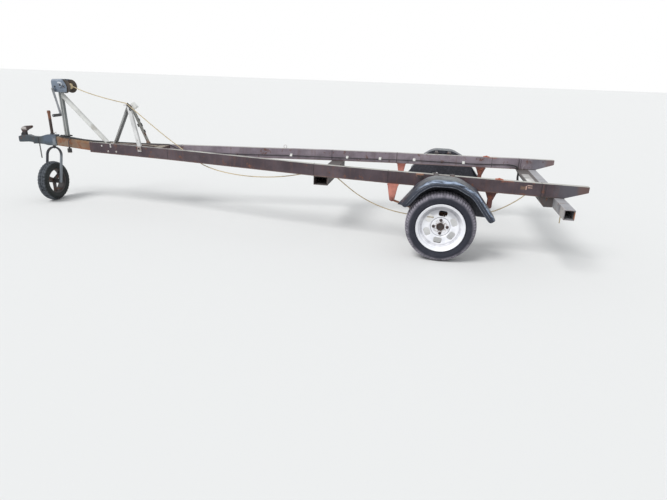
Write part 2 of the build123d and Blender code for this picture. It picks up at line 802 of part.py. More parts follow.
# Mudguards: a top sheet with a rolled outer skirt, carried along the guard's line, its lower corners round.
# Columns: x from the axle, z, of the guard's top line from the front end to the rear
guard_line = [(-325, 448), (-215, 588), (-110, 661), (95, 661), (250, 580), (409, 375)]
guard_radii = [60, 70, 70, 80]
guard_inner_y = 690
guard_outer_y = 893
guard_skirt = 46
guard_wall = 3
for side, side_name in ((-1, "left"), (1, "right")):
    with BuildPart() as guard:
        with BuildLine(side_plane(axle_x, 0, 0)) as guard_path:
            FilletPolyline(*guard_line, radius=guard_radii)
        with BuildSketch(Plane(origin=guard_path.line @ 0, x_dir=(0, side, 0), z_dir=guard_path.line % 0)):
            with BuildLine():
                Polyline(
                    (guard_inner_y, 0),
                    (guard_outer_y - 22, 0),
                    (guard_outer_y - 5, -9 * side),
                    (guard_outer_y, -guard_skirt * side),
                    (guard_outer_y - guard_wall, -guard_skirt * side),
                    (guard_outer_y - guard_wall - 6, -12 * side),
                    (guard_outer_y - 23, -guard_wall * side),
                    (guard_inner_y, -guard_wall * side),
                    close=True,
                )
            make_face()
        sweep(path=guard_path.line, transition=Transition.RIGHT)
    guard.part.label = f"mudguard_{side_name}"
    export_step(guard.part, f"parts/mudguard_{side_name}.step")

# Mudguard brackets: two flat bars from the rail to the guard's underside, and a lashing plate, on each side
guard_underside = 658
for side, side_name in ((-1, "left"), (1, "right")):
    with BuildPart() as brackets:
        for x in (axle_x - 70, axle_x + 60):
            near = rail_half_width(x + 20) + 0.2
            with Locations((x, side * (near + 3), 628)):
                Box(40, 6, 60)
            with Locations((x, side * (near + 790) / 2, guard_underside - 3)):
                Box(30, 790 - near, 6)
        with BuildSketch(rail_face(1540, side, 600).offset(0.2)):
            with BuildLine():
                Polyline((-34, 27), (34, 27), (6, -4), (-6, -4), close=True)
            make_face()
            with Locations((0, 14)):
                Circle(7, mode=Mode.SUBTRACT)
        extrude(amount=5)
    brackets.part.label = f"mudguard_brackets_{side_name}"
    export_step(brackets.part, f"parts/mudguard_brackets_{side_name}.step")

# Wheels: hub with studs, pressed rim and tyre on each side
hub_face = 30
stub_room = stub_diameter / 2 + 0.05
# Columns: out along the axle from the tyre's middle, radius over the flats
tyre_outside = [(-tyre_half, 238), (-83.5, 256), (-71.5, 272), (-48, 280), (0, wheel_radius),
                (48, 280), (71.5, 272), (83.5, 256), (tyre_half, 238)]
tyre_inside = [(-tyre_half - 1, 231), (-70.5, 196), (-67.8, 177.6),
               (67.8, 177.6), (70.5, 196), (tyre_half + 1, 231)]
for side, side_name in ((-1, "left"), (1, "right")):
    # A plane square to the axle whose z points outwards and whose x points to the rear
    wheel_plane = Plane(origin=(axle_x, side * rim_y, wheel_radius), x_dir=(1, 0, 0), z_dir=(0, side, 0))
    wheel_axis = Axis((axle_x, side * rim_y, wheel_radius), (0, side, 0))
    turn_plane = Plane(origin=(axle_x, side * rim_y, wheel_radius), x_dir=(0, side, 0), z_dir=(-side, 0, 0))
    with BuildPart() as hub:
        with BuildSketch(wheel_plane.offset(hub_face - 8)):
            Circle(70)
            Circle(stub_room, mode=Mode.SUBTRACT)
        extrude(amount=8)
        with BuildSketch(wheel_plane.offset(-70)):
            Circle(34)
            Circle(stub_room, mode=Mode.SUBTRACT)
        extrude(amount=70 + hub_face - 8)
        with BuildSketch(wheel_plane.offset(hub_face)):
            Circle(centre_bore / 2 - 0.2)
            Circle(stub_room, mode=Mode.SUBTRACT)
        extrude(amount=12)
        with BuildSketch(wheel_plane.offset(hub_face)):
            with PolarLocations(stud_circle / 2, stud_count):
                Circle(5.9)
        extrude(amount=26)
    hub.part.label = f"hub_{side_name}"
    export_step(hub.part, f"parts/hub_{side_name}.step")

    with BuildPart() as rim:
        with BuildSketch(turn_plane):
            # Barrel. Columns: out along the axle from the rim's middle, radius
            with BuildLine():
                Polyline(
                    (rim_half, rim_radius - 3),
                    (rim_half - 4, rim_radius),
                    (rim_half - 12, rim_radius - 6),
                    (rim_half - 14, rim_seat),
                    (rim_half - 34, rim_seat - 2),
                    (rim_half - 42, rim_seat - 22),
                    (-22, rim_seat - 22),
                    (-38, rim_seat - 4),
                    (-rim_half + 14, rim_seat),
                    (-rim_half + 12, rim_radius - 6),
                    (-rim_half + 4, rim_radius),
                    (-rim_half, rim_radius - 3),
                    (-rim_half + 8, rim_seat - 5),
                    (-42, rim_seat - 9),
                    (-24, rim_seat - 27),
                    (rim_half - 36, rim_seat - 27),
                    (rim_half - 30, rim_seat - 7),
                    (rim_half - 9, rim_seat - 4),
                    close=True,
                )
            make_face()
            # Pressed disc
            with BuildLine():
                Polyline(
                    (hub_face, centre_bore / 2),
                    (hub_face, 80),
                    (hub_face + 6, 86),
                    (hub_face + 4, 122),
                    (hub_face + 8, 140),
                    (hub_face + 2, rim_seat - 25),
                    (hub_face + 8, rim_seat - 25),
                    (hub_face + 13, 140),
                    (hub_face + 9, 122),
                    (hub_face + 11, 84),
                    (hub_face + 5, 78),
                    (hub_face + 5, centre_bore / 2),
                    close=True,
                )
            make_face()
        revolve(axis=wheel_axis)
        with BuildSketch(wheel_plane.offset(hub_face - 4)):
            with PolarLocations(window_circle / 2, window_count, start_angle=window_turn):
                RectangleRounded(46, 66, 16)
            with PolarLocations(stud_circle / 2, stud_count):
                Circle(stud_hole / 2)
        extrude(amount=26, mode=Mode.SUBTRACT)
    rim.part.label = f"rim_{side_name}"
    export_step(rim.part, f"parts/rim_{side_name}.step")

    with BuildPart() as tyre:
        for out, radius in tyre_outside:
            with BuildSketch(wheel_plane.offset(out)):
                RegularPolygon(radius, tyre_sides, major_radius=False, rotation=180 / tyre_sides)
        loft(ruled=True)
        for out, radius in tyre_inside:
            with BuildSketch(wheel_plane.offset(out)):
                RegularPolygon(radius, tyre_sides, major_radius=False, rotation=180 / tyre_sides)
        loft(ruled=True, mode=Mode.SUBTRACT)
    tyre.part.label = f"tyre_{side_name}"
    export_step(tyre.part, f"parts/tyre_{side_name}.step")

# Lighting cable: along the drawbar's top, then clipped to the right rail's inner face
cable_radius = 4
cable_lift = cable_radius + 0.5
cable_gap = 6
cable_on_top = [(-1900, 30), (-1640, 32), (-1330, 44), (-1080, 84)]
# Columns: x, z along the rail's inner face
cable_on_rail = [(-940, 572), (-400, 566), (250, 570), (900, 566), (1500, 572), (2050, 566), (2380, 575)]
cable_points = [(-2060, 20, drawbar_top(-2060) + cable_lift)]
cable_points += [(x, y, rail_top + cable_lift) for x, y in cable_on_top]
cable_points += [(-1005, 106, 604)]
cable_points += [(x, rail_half_width(x) - rail_width - cable_gap, z) for x, z in cable_on_rail]
with BuildPart() as cable:
    with BuildLine() as cable_line:
        FilletPolyline(*cable_points, radius=40)
    with BuildSketch(Plane(origin=cable_line.line @ 0, z_dir=cable_line.line % 0)):
        Circle(cable_radius)
    sweep(path=cable_line.line)
cable.part.label = "lighting_cable"
export_step(cable.part, "parts/lighting_cable.step")

# Rope: off the drum, over the bow stop, down inside the left rail, below it and back below the axle,
# over the rear cross member and the beam, with its end hanging
rope_radius = 4.5
rope_points = [
    (-2099, -4, 1209), (-2013, -8, 1172), (-1920, -12, 1142.5), (-1830, -16, 1119), (-1740, -20, 1099),
    (-1640, -26, 1080), (-1550, -32, 1065), (-1472, -38, 1054), (-1436, -41, 1047), (-1375, -46, 1000),
    (-1280, -54, 932), (-1175, -65, 857), (-1070, -76, 784), (-980, -83, 723), (-895, -90, 670),
    (-800, -112, 616), (-700, -146, 566), (-600, -176, 514), (-480, -220, 488), (-350, -260, 472),
    (-215, -290, 463), (-80, -312, 459), (60, -330, 464), (195, -344, 476), (330, -352, 496),
    (450, -356, 522), (560, -356, 546), (650, -354, 551), (745, -352, 545), (815, -350, 500),
    (890, -349, 440),
    (970, -348, 384), (1060, -347, 333), (1160, -347, 290), (1270, -347, 256), (1385, -347, 234),
    (1505, -347, 222), (1630, -347, 216), (1750, -347, 218), (1870, -347, 228), (1990, -347, 250),
    (2100, -362, 284), (2200, -384, 330), (2285, -405, 386), (2360, -424, 448), (2425, -440, 516),
    (2480, -452, 552), (2570, -462, 546), (2660, -468, 549), (2700, -470, 520), (2706, -471, 455),
    (2705, -472, 380), (2707, -472, 290),
]
rope_radii = bend_radii(rope_points)
with BuildPart() as rope:
    with BuildLine() as rope_line:
        FilletPolyline(*rope_points, radius=rope_radii)
    with BuildSketch(Plane(origin=rope_line.line @ 0, z_dir=rope_line.line % 0)):
        Circle(rope_radius)
    sweep(path=rope_line.line)
rope.part.label = "winch_rope"
export_step(rope.part, "parts/winch_rope.step")
rope_length = sum(edge.length for edge in rope_line.edges())
print("rope radii", [round(r) for r in rope_radii])
rope_ratio = rope.part.volume / (pi * rope_radius**2 * rope_length)
print("rope length", round(rope_length), "volume ratio", round(rope_ratio, 4))

# Plug lead: over the drawbar's left top edge and down to the trailer plug
lead_radius = 4
plug_place = (-2169, -41)
plug_top = 571
lead_points = [
    (-2060, 20, drawbar_top(-2060) + cable_lift), (-2100, 18.9, 657.9), (-2134, 4, 668), (-2154, -28, 669.5),
    (-2166, -44, 636), (*plug_place, 603), (*plug_place, plug_top),
]
lead_radii = bend_radii(lead_points)
with BuildPart() as lead:
    with BuildLine() as lead_line:
        FilletPolyline(*lead_points, radius=lead_radii)
    with BuildSketch(Plane(origin=lead_line.line @ 0, z_dir=lead_line.line % 0)):
        Circle(lead_radius)
    sweep(path=lead_line.line)
lead.part.label = "plug_lead"
export_step(lead.part, "parts/plug_lead.step")
lead_length = sum(edge.length for edge in lead_line.edges())
print("lead radii", [round(r) for r in lead_radii], "length", round(lead_length))

# Trailer plug: a barrel below a short neck
with BuildPart() as plug:
    with Locations((*plug_place, plug_top)):
        Cylinder(9, 16, align=(Align.CENTER, Align.CENTER, Align.MAX))
    with Locations((*plug_place, plug_top - 14)):
        Cylinder(22, 44, align=(Align.CENTER, Align.CENTER, Align.MAX))
plug.part.label = "trailer_plug"
export_step(plug.part, "parts/trailer_plug.step")
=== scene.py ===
import bmesh
import bpy
import numpy as np
from mathutils import Matrix, Vector


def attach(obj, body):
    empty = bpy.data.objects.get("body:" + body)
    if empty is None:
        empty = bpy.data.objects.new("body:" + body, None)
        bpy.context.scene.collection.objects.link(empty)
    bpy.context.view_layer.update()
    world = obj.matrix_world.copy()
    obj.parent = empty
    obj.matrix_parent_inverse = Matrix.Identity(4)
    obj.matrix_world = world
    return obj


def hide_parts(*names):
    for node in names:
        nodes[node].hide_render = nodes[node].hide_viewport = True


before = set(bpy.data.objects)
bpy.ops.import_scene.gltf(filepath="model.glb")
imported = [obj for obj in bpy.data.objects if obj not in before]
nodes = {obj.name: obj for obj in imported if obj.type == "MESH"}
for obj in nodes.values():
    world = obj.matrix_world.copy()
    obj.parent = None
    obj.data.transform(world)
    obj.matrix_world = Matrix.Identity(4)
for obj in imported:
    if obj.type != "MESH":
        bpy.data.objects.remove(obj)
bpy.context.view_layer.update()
mm = 0.001
print("frame loaded,", len(nodes), "nodes")

# Camera, solved from the wheel, the level rails and the ground
camera = {
    "place": (1.597, -4.6923, 1.4405),  # metres
    "pitch": 0.3529,  # radians below level
    "yaw": -0.1853,
    "roll": 0.0321,
    "focal": 492.56,  # in pixels of a 667 wide picture
    "pictureWidth": 667,
    "sensor": 36.0,
}


def newObject(name, data):
    made = bpy.data.objects.new(name, data)
    bpy.context.collection.objects.link(made)
    return made


def buildCamera():
    # The view direction from yaw and pitch, then the right and up axes turned about it by the roll
    yaw, pitch, roll = camera["yaw"], camera["pitch"], camera["roll"]
    ahead = Vector((np.sin(yaw) * np.cos(pitch), np.cos(yaw) * np.cos(pitch), -np.sin(pitch)))
    right = Vector((np.cos(yaw), -np.sin(yaw), 0.0))
    up = right.cross(ahead)
    rolledRight = right * np.cos(roll) + up * np.sin(roll)
    rolledUp = up * np.cos(roll) - right * np.sin(roll)
    data = bpy.data.cameras.new("camera")
    data.sensor_fit = "HORIZONTAL"
    data.sensor_width = camera["sensor"]
    data.lens = camera["focal"] * camera["sensor"] / camera["pictureWidth"]
    data.clip_end = 200
    cameraObject = newObject("camera", data)
    turn = Matrix((rolledRight, rolledUp, -ahead)).transposed()
    cameraObject.matrix_world = Matrix.Translation(camera["place"]) @ turn.to_4x4()
    bpy.context.scene.camera = cameraObject


buildCamera()
print("camera placed")

# Cords. The points are the routes, in metres
cords = {
    "rope": {"radius": 0.0045, "length": 5.442, "points": [
        (-2.099, -0.004, 1.209), (-2.013, -0.008, 1.172),
        (-1.920, -0.012, 1.1425), (-1.830, -0.016, 1.119), (-1.740, -0.020, 1.099), (-1.640, -0.026, 1.080),
        (-1.550, -0.032, 1.065), (-1.472, -0.038, 1.054), (-1.436, -0.041, 1.047), (-1.375, -0.046, 1.000),
        (-1.280, -0.054, 0.932), (-1.175, -0.065, 0.857), (-1.070, -0.076, 0.784), (-0.980, -0.083, 0.723),
        (-0.895, -0.090, 0.670), (-0.800, -0.112, 0.616), (-0.700, -0.146, 0.566), (-0.600, -0.176, 0.514),
        (-0.480, -0.220, 0.488), (-0.350, -0.260, 0.472), (-0.215, -0.290, 0.463), (-0.080, -0.312, 0.459),
        (0.060, -0.330, 0.464), (0.195, -0.344, 0.476), (0.330, -0.352, 0.496), (0.450, -0.356, 0.522),
        (0.560, -0.356, 0.546), (0.650, -0.354, 0.551), (0.745, -0.352, 0.545), (0.815, -0.350, 0.500),
        (0.890, -0.349, 0.440), (0.970, -0.348, 0.384), (1.060, -0.347, 0.333), (1.160, -0.347, 0.290),
        (1.270, -0.347, 0.256), (1.385, -0.347, 0.234), (1.505, -0.347, 0.222), (1.630, -0.347, 0.216),
        (1.750, -0.347, 0.218), (1.870, -0.347, 0.228), (1.990, -0.347, 0.250), (2.100, -0.362, 0.284),
        (2.200, -0.384, 0.330), (2.285, -0.405, 0.386), (2.360, -0.424, 0.448), (2.425, -0.440, 0.516),
        (2.480, -0.452, 0.552), (2.570, -0.462, 0.546), (2.660, -0.468, 0.549), (2.700, -0.470, 0.520),
        (2.706, -0.471, 0.455), (2.705, -0.472, 0.380), (2.707, -0.472, 0.290)]},
    "lead": {"radius": 0.004, "length": 0.215, "points": [(-2.060, 0.020, 0.65465),
        (-2.100, 0.0189, 0.6579), (-2.134, 0.004, 0.668), (-2.154, -0.028, 0.6695), (-2.166, -0.044, 0.636),
        (-2.169, -0.041, 0.603), (-2.169, -0.041, 0.571)]},
}


def splineTube(name, radius, points):
    # One open spline of second degree, with the route's points as its control points
    data = bpy.data.curves.new(name, "CURVE")
    data.dimensions = "3D"
    data.bevel_depth = radius
    data.bevel_resolution = 3
    data.resolution_u = 10
    data.use_fill_caps = True
    spline = data.splines.new("NURBS")
    spline.points.add(len(points) - 1)
    for point, place in zip(spline.points, points):
        point.co = (*place, 1.0)
    spline.order_u = 3
    spline.use_endpoint_u = True
    return newObject(name, data)


def buildCords():
    ropeCurve = splineTube("rope", cords["rope"]["radius"], cords["rope"]["points"])
    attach(ropeCurve, "root")
    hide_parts("winch_rope")
    leadCurve = splineTube("plugLead", cords["lead"]["radius"], cords["lead"]["points"])
    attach(leadCurve, "root")
    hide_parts("plug_lead")
    return ropeCurve, leadCurve


ropeCurve, leadCurve = buildCords()
print("cords made")


# Material tools. They add to the tree of the look that is being made
looks = {}
tree = None


def addNode(kind, inputs=None, **settings):
    made = tree.nodes.new("ShaderNode" + kind)
    for key, value in settings.items():
        setattr(made, key, value)
    for key, value in (inputs or {}).items():
        socket = made.inputs[key]
        if isinstance(value, bpy.types.NodeSocket):
            tree.links.new(value, socket)
        else:
            socket.default_value = (*value, 1) if socket.type == "RGBA" else value
    return made


def maths(operation, first, second=0.0, third=0.0, clamp=False):
    return addNode("Math", {0: first, 1: second, 2: third}, operation=operation, use_clamp=clamp).outputs[0]


def times(first, second):
    return maths("MULTIPLY", first, second)


def plus(first, second, clamp=False):
    return maths("ADD", first, second, clamp=clamp)


def scaled(value, by, shift):
    return maths("MULTIPLY_ADD", value, by, shift)


def vectorMaths(operation, first, second=(0, 0, 0), output=0):
    return addNode("VectorMath", {0: first, 1: second}, operation=operation).outputs[output]


def dot(first, second):
    return vectorMaths("DOT_PRODUCT", first, second, 1)


def splitVector(vector):
    return addNode("SeparateXYZ", {0: vector}).outputs


def mixed(factor, first, second):
    return addNode("Mix", {0: factor, 6: first, 7: second}, data_type="RGBA").outputs[2]


def rising(value, low, high, top=1.0):
    # A smooth step from 0 at low to top at high
    inputs = {"Value": value, "From Min": low, "From Max": high, "To Max": top}
    return addNode("MapRange", inputs, interpolation_type="SMOOTHSTEP").outputs["Result"]


def band(value, low, high, fall, end):
    # A smooth step up from low to high, and down again from fall to end
    return times(rising(value, low, high), rising(value, end, fall))


def noise(place, scale, detail=4.0, stretch=None):
    if stretch:
        place = addNode("Mapping", {"Vector": place, "Scale": stretch}).outputs[0]
    inputs = {"Vector": place, "Scale": scale, "Detail": detail, "Roughness": 0.62}
    return addNode("TexNoise", inputs).outputs["Fac"]


def patches(place, scale, detail, low, high, top=1.0, stretch=None):
    return rising(noise(place, scale, detail, stretch), low, high, top)


def darker(colour, share):
    return tuple(share * c for c in colour)


def newLook(name):
    global tree
    looks[name] = bpy.data.materials.new(name)
    looks[name].use_nodes = True
    tree = looks[name].node_tree
    return addNode("TexCoord").outputs["Object"]


def finishLook(colour, roughness, height, depth, edgeNormal=None, **constants):
    shader = tree.nodes["Principled BSDF"]
    tree.links.new(colour, shader.inputs["Base Color"])
    tree.links.new(roughness, shader.inputs["Roughness"])
    bumpInputs = {"Height": height, "Distance": depth, "Strength": 0.6}
    if edgeNormal is not None:
        bumpInputs["Normal"] = edgeNormal
    tree.links.new(addNode("Bump", bumpInputs).outputs[0], shader.inputs["Normal"])
    for key, value in constants.items():
        shader.inputs[key.replace("_", " ")].default_value = value


def boxMask(place, centre, half, strength, soft, wobble):
    # The strength inside the box and 0 outside it. The edge is as wide as soft and as ragged as the noise
    away = vectorMaths("ABSOLUTE", vectorMaths("SUBTRACT", place, centre))
    parts = splitVector(vectorMaths("SUBTRACT", away, half))
    furthest = maths("MAXIMUM", maths("MAXIMUM", parts[0], parts[1]), parts[2])
    return rising(plus(furthest, times(wobble, soft)), soft, -soft, strength)


steelGrain = {  # scale, detail, low, high, strength
    "shade": (2.3, 3, 0.36, 0.62), "blotch": (7, 5, 0.42, 0.66, 0.55), "middle": (17, 6), "fine": (140, 4),
    "ragged": (38, 5), "run": (1.0, 3, 0.5, 0.72), "runStretch": (34, 34, 2.5),
    "topDustAndSheen": (9, 6, 0.3, 0.55, 1.0), "topStretch": (0.35, 1, 1), "wearAndHighlightBand": (0.01, 0.16), "upward": (0.5, 0.9),
    "bump": 0.0012,
}


def wornSteel(name, base, shade, rust=(0.2, 0.075, 0.032), darkRust=(0.07, 0.028, 0.018), rusty=0.3,
              edge=(0.3, 0.24, 0.2), edgeWidth=0.003, edgeWearAndHighlight=0.6, top=None, topDustAndHighlight=0.7,
              streaks=0.35, rough=0.6, metal=0.0):
    # Paint in two tones, rust where the noise is high, streaks that run down, tints in their boxes, and along
    # edges and on upper faces a paler tone that is partly worn paint and dust, partly painted highlight
    place = newLook(name)
    middle, fine = noise(place, *steelGrain["middle"]), noise(place, *steelGrain["fine"])
    ragged = maths("SUBTRACT", noise(place, *steelGrain["ragged"]), 0.5)
    colour = mixed(patches(place, *steelGrain["shade"]), base, shade)
    colour = mixed(patches(place, *steelGrain["blotch"]), colour, darker(base, 0.55))
    limit = 0.7 - 0.34 * rusty
    rustMask = rising(plus(middle, times(ragged, 0.25)), limit - 0.03, limit + 0.05)
    rustTone = mixed(rising(fine, 0.38, 0.62), rust, darkRust)
    colour = mixed(rustMask, colour, rustTone)
    run = patches(place, *steelGrain["run"], streaks, steelGrain["runStretch"])
    colour = mixed(times(run, rising(middle, 0.3, 0.6)), colour, rustTone)
    for centre, half, tone, strength, soft, wobble in tints.get(name, []):
        colour = mixed(boxMask(place, centre, half, strength, soft, times(ragged, wobble)), colour, tone)
    normal = addNode("NewGeometry").outputs["Normal"]
    edgeNormal = addNode("Bevel", {"Radius": edgeWidth}, samples=6).outputs[0]
    # Worn paint along the edges, which also serves as their painted highlight
    wornAndHighlit = rising(maths("SUBTRACT", 1.0, dot(edgeNormal, normal)), *steelGrain["wearAndHighlightBand"], edgeWearAndHighlight)
    colour = mixed(times(wornAndHighlit, rising(middle, 0.36, 0.56)), colour, edge)
    # Dust on the upward faces, which also serves as their painted highlight
    if top:
        upper = rising(splitVector(normal)[2], *steelGrain["upward"], topDustAndHighlight)
        dust = patches(place, *steelGrain["topDustAndSheen"], steelGrain["topStretch"])
        colour = mixed(times(upper, dust), colour, top)
    roughness = plus(scaled(fine, 0.18, rough - 0.09), times(rustMask, 0.25), clamp=True)
    height = plus(times(rustMask, 0.5), times(fine, 0.45))
    finishLook(colour, roughness, height, steelGrain["bump"], edgeNormal, Metallic=metal)


def rubberLook(name, colour, dust, centre, axis, dustFrom, dustTo, dustTop, dusty, cuts):
    # Dark rubber with dust on the tread and dark cuts across its shoulder, by the distance from the axle
    place = newLook(name)
    away = vectorMaths("SUBTRACT", place, tuple(centre * mm))
    along = dot(away, tuple(axis))
    radius = maths("SQRT", maths("SUBTRACT", dot(away, away), times(along, along)))
    middle = noise(place, 24, 6)
    mottle = rising(middle, 0.36, 0.64)
    film = times(patches(place, 8, 5, 0.4, 0.7, dusty), mottle)
    shown = mixed(film, colour, tuple(0.55 * c + 0.45 * d for c, d in zip(colour, dust)))
    tread = times(rising(radius, dustFrom, dustTo, dustTop), plus(0.45, mottle, clamp=True))
    shown = mixed(tread, shown, dust)
    parts = splitVector(away)
    flat = plus(times(parts[0], abs(axis[1])), times(parts[1], -axis[0]))
    wave = maths("SINE", times(maths("ARCTAN2", parts[2], flat), cuts))
    cut = times(rising(wave, 0.35, 0.85, 0.5), rising(radius, dustFrom + 0.01, dustTo))
    shown = mixed(cut, shown, darker(colour, 0.6))
    height = plus(noise(place, 260, 3), middle)
    finishLook(shown, scaled(middle, 0.3, 0.5), height, 0.0008, Specular_IOR_Level=0.35)


rimPaint = {
    "hubBand": (0.07, 0.034, 0.8), "grooveBand": (0.0725, 0.0755, 0.077, 0.08),
    "barrelBand": (0.14, 0.154, 0.156, 0.17), "bowlBand": (0.085, 0.125, 0.168, 0.176),
    "mottle": (16, 5, 0.36, 0.72), "hubMottle": (60, 5, 0.46, 0.6), "speckMottle": (95, 4, 0.71, 0.77, 0.6),
    "silver": (0.92, 0.92, 0.95), "silverShade": (0.82, 0.83, 0.88), "hubRust": (0.2, 0.12, 0.085),
    "groove": (0.26, 0.25, 0.27), "barrelGrimeAndShade": (0.3, 0.29, 0.32), "bowlShade": (0.21, 0.21, 0.235),
    "specks": (0.3, 0.2, 0.15), "innerSide": (0.085, 0.075, 0.075),
}


def rimLook(name, centre, axis):
    # Silver paint, rusty round the nuts, with dirt and painted shade in the corner of the disc and the
    # barrel, painted shade over the upper part of the bowl, and darker all over the inner side. Its bands are
    # given by the distance from the axle, in metres
    place = newLook(name)
    away = vectorMaths("SUBTRACT", place, tuple(centre * mm))
    radius = vectorMaths("LENGTH", vectorMaths("MULTIPLY", away, (1, 0, 1)), output=1)
    mottle = patches(place, *rimPaint["mottle"])
    colour = mixed(mottle, rimPaint["silver"], rimPaint["silverShade"])
    hub = times(rising(radius, *rimPaint["hubBand"]), patches(place, *rimPaint["hubMottle"]))
    colour = mixed(hub, colour, rimPaint["hubRust"])
    colour = mixed(times(band(radius, *rimPaint["grooveBand"]), 0.75), colour, rimPaint["groove"])
    # Dirt and painted shade in the corner of the disc and the barrel
    grimeAndShade = times(band(radius, *rimPaint["barrelBand"]), scaled(mottle, 0.4, 0.25))
    colour = mixed(grimeAndShade, colour, rimPaint["barrelGrimeAndShade"])
    # Painted shade over the upper part of the bowl
    upper = times(band(radius, *rimPaint["bowlBand"]), rising(splitVector(away)[2], 0.0, 0.13, 0.6))
    colour = mixed(upper, colour, rimPaint["bowlShade"])
    colour = mixed(patches(place, *rimPaint["speckMottle"]), colour, rimPaint["specks"])
    # Darker all over the inner side
    innerDark = times(rising(dot(away, axis), 0.03, -0.02), scaled(mottle, 0.25, 0.7))
    colour = mixed(innerDark, colour, rimPaint["innerSide"])
    finishLook(colour, scaled(mottle, 0.15, 0.34), noise(place, 400, 2), 0.0003, Metallic=0.05)


# The highlight colour is painted, and the top's dust colour is partly a painted reflection
guardPaint = {
    "navy": (0.014, 0.018, 0.03), "navyShade": (0.026, 0.034, 0.056), "paintedGlint": (0.34, 0.42, 0.56),
    "dust": (0.13, 0.15, 0.15), "shade": (3, 3, 0.38, 0.62), "scuffAndGlintStreaks": (15, 7, (0.7, 3, 3)), "mottle": (21, 5),
    "outward": (0.62, 0.785), "rearward": (0.62, 0.45, 0.64),  # the directions whose faces shine
}


def guardLook(name, side):
    # Glossy moulded sheet: a painted highlight in bluish streaks along the shoulder, dull dust with a painted
    # green-grey reflection on the top, scuffs that lie along it
    place = newLook(name)
    normal = addNode("NewGeometry").outputs["Normal"]
    scuffAndGlintStreaks = noise(place, *guardPaint["scuffAndGlintStreaks"])
    middle = noise(place, *guardPaint["mottle"])
    colour = mixed(patches(place, *guardPaint["shade"]), guardPaint["navy"], guardPaint["navyShade"])
    # Painted highlight, in streaks, on the faces that turn out and up and on those that turn to the rear
    y, z = guardPaint["outward"]
    outward = rising(dot(normal, (0, side * y, z)), 0.78, 0.965)
    x, y, z = guardPaint["rearward"]
    rearward = rising(dot(normal, (x, side * y, z)), 0.9, 0.99)
    paintedGlint = times(maths("MAXIMUM", outward, rearward), rising(scuffAndGlintStreaks, 0.38, 0.6))
    colour = mixed(paintedGlint, colour, guardPaint["paintedGlint"])
    # Dust on the upward faces of the top, with a painted green-grey reflection
    topDustAndSheen = times(rising(splitVector(normal)[2], 0.9, 0.99), rising(scuffAndGlintStreaks, 0.36, 0.66, 0.75))
    colour = mixed(topDustAndSheen, colour, guardPaint["dust"])
    finishLook(colour, scaled(middle, 0.35, 0.22), scaled(middle, 0.4, scuffAndGlintStreaks), 0.003)


def plasticLook(name, colour, pale, amount=0.4, rough=0.5):
    # One tone with a faint mottle, and a paler bloom on patches
    place = newLook(name)
    middle = noise(place, 45, 6)
    shown = mixed(rising(middle, 0.42, 0.7, amount), colour, pale)
    finishLook(shown, scaled(middle, 0.3, rough - 0.15), plus(noise(place, 320, 2), middle), 0.0006)


def ropeLook(name, colour, shade):
    # Strands as slanting bands across the rope, with a darker tone in their gaps and old dirt in patches
    place = newLook(name)
    waveInputs = {"Vector": place, "Scale": 55, "Distortion": 1.2, "Detail": 2, "Detail Scale": 4}
    strands = addNode("TexWave", waveInputs, bands_direction="DIAGONAL").outputs["Fac"]
    shown = mixed(rising(strands, 0.1, 0.7), shade, colour)
    shown = mixed(patches(place, 9, 5, 0.45, 0.7, 0.55), shown, darker(shade, 0.6))
    fine = noise(place, 700, 2)
    finishLook(shown, scaled(fine, 0.2, 0.7), plus(strands, fine), 0.0015, Sheen_Weight=0.15)


# Places where a finish changes, and where shade and highlight are painted, in metres:
# centre, half size, colour, strength, soft edge, raggedness
railTints = [
    ((0.4, 0, 0.534), (2.6, 1.2, 0.006), (0.17, 0.095, 0.07), 0.7, 0.006, 2),
    ((2.71, 0, 0.6), (0.11, 1.2, 0.1), (0.085, 0.095, 0.115), 0.55, 0.05, 2),
    ((2.8, 0, 0.59), (0.045, 1.2, 0.1), (0.17, 0.085, 0.06), 0.5, 0.02, 2),
    ((2.351, -0.62, 0.594), (0.016, 0.06, 0.012), (0.2, 0.12, 0.075), 0.8, 0.008, 3),
    ((2.375, -0.62, 0.596), (0.004, 0.06, 0.015), (0.62, 0.4, 0.32), 0.95, 0.003, 2),
    ((2.401, -0.62, 0.616), (0.018, 0.06, 0.0025), (0.66, 0.46, 0.38), 0.95, 0.003, 2),
    ((2.404, -0.62, 0.599), (0.015, 0.06, 0.0025), (0.62, 0.42, 0.34), 0.9, 0.003, 2),
    ((1.535, -0.55, 0.64), (0.03, 0.04, 0.022), (0.46, 0.22, 0.13), 0.75, 0.01, 4),
    ((2.23, 0, 0.64), (0.045, 0.9, 0.01), (0.34, 0.12, 0.06), 0.6, 0.01, 4),
    # Dark strip along the rails' bottom at the tail, where they sit on the cross member: painted shade in the
    # gap
    ((2.6, 0, 0.5355), (0.13, 1.2, 0.004), (0.02, 0.018, 0.02), 0.8, 0.004, 1),
]
seams = {
    1: [2.227, 2.497, 1.265, 0.595, -0.965], -1: [2.492, 2.522, 1.265, 0.595, -0.965],  # x, by side
    "half": (0.0022, 0.4, 0.2), "colour": (0.018, 0.013, 0.015),
}


def seamTints(side):
    return [((x, side * 0.4, 0.58), seams["half"], seams["colour"], 0.9, 0.0025, 1) for x in seams[side]]


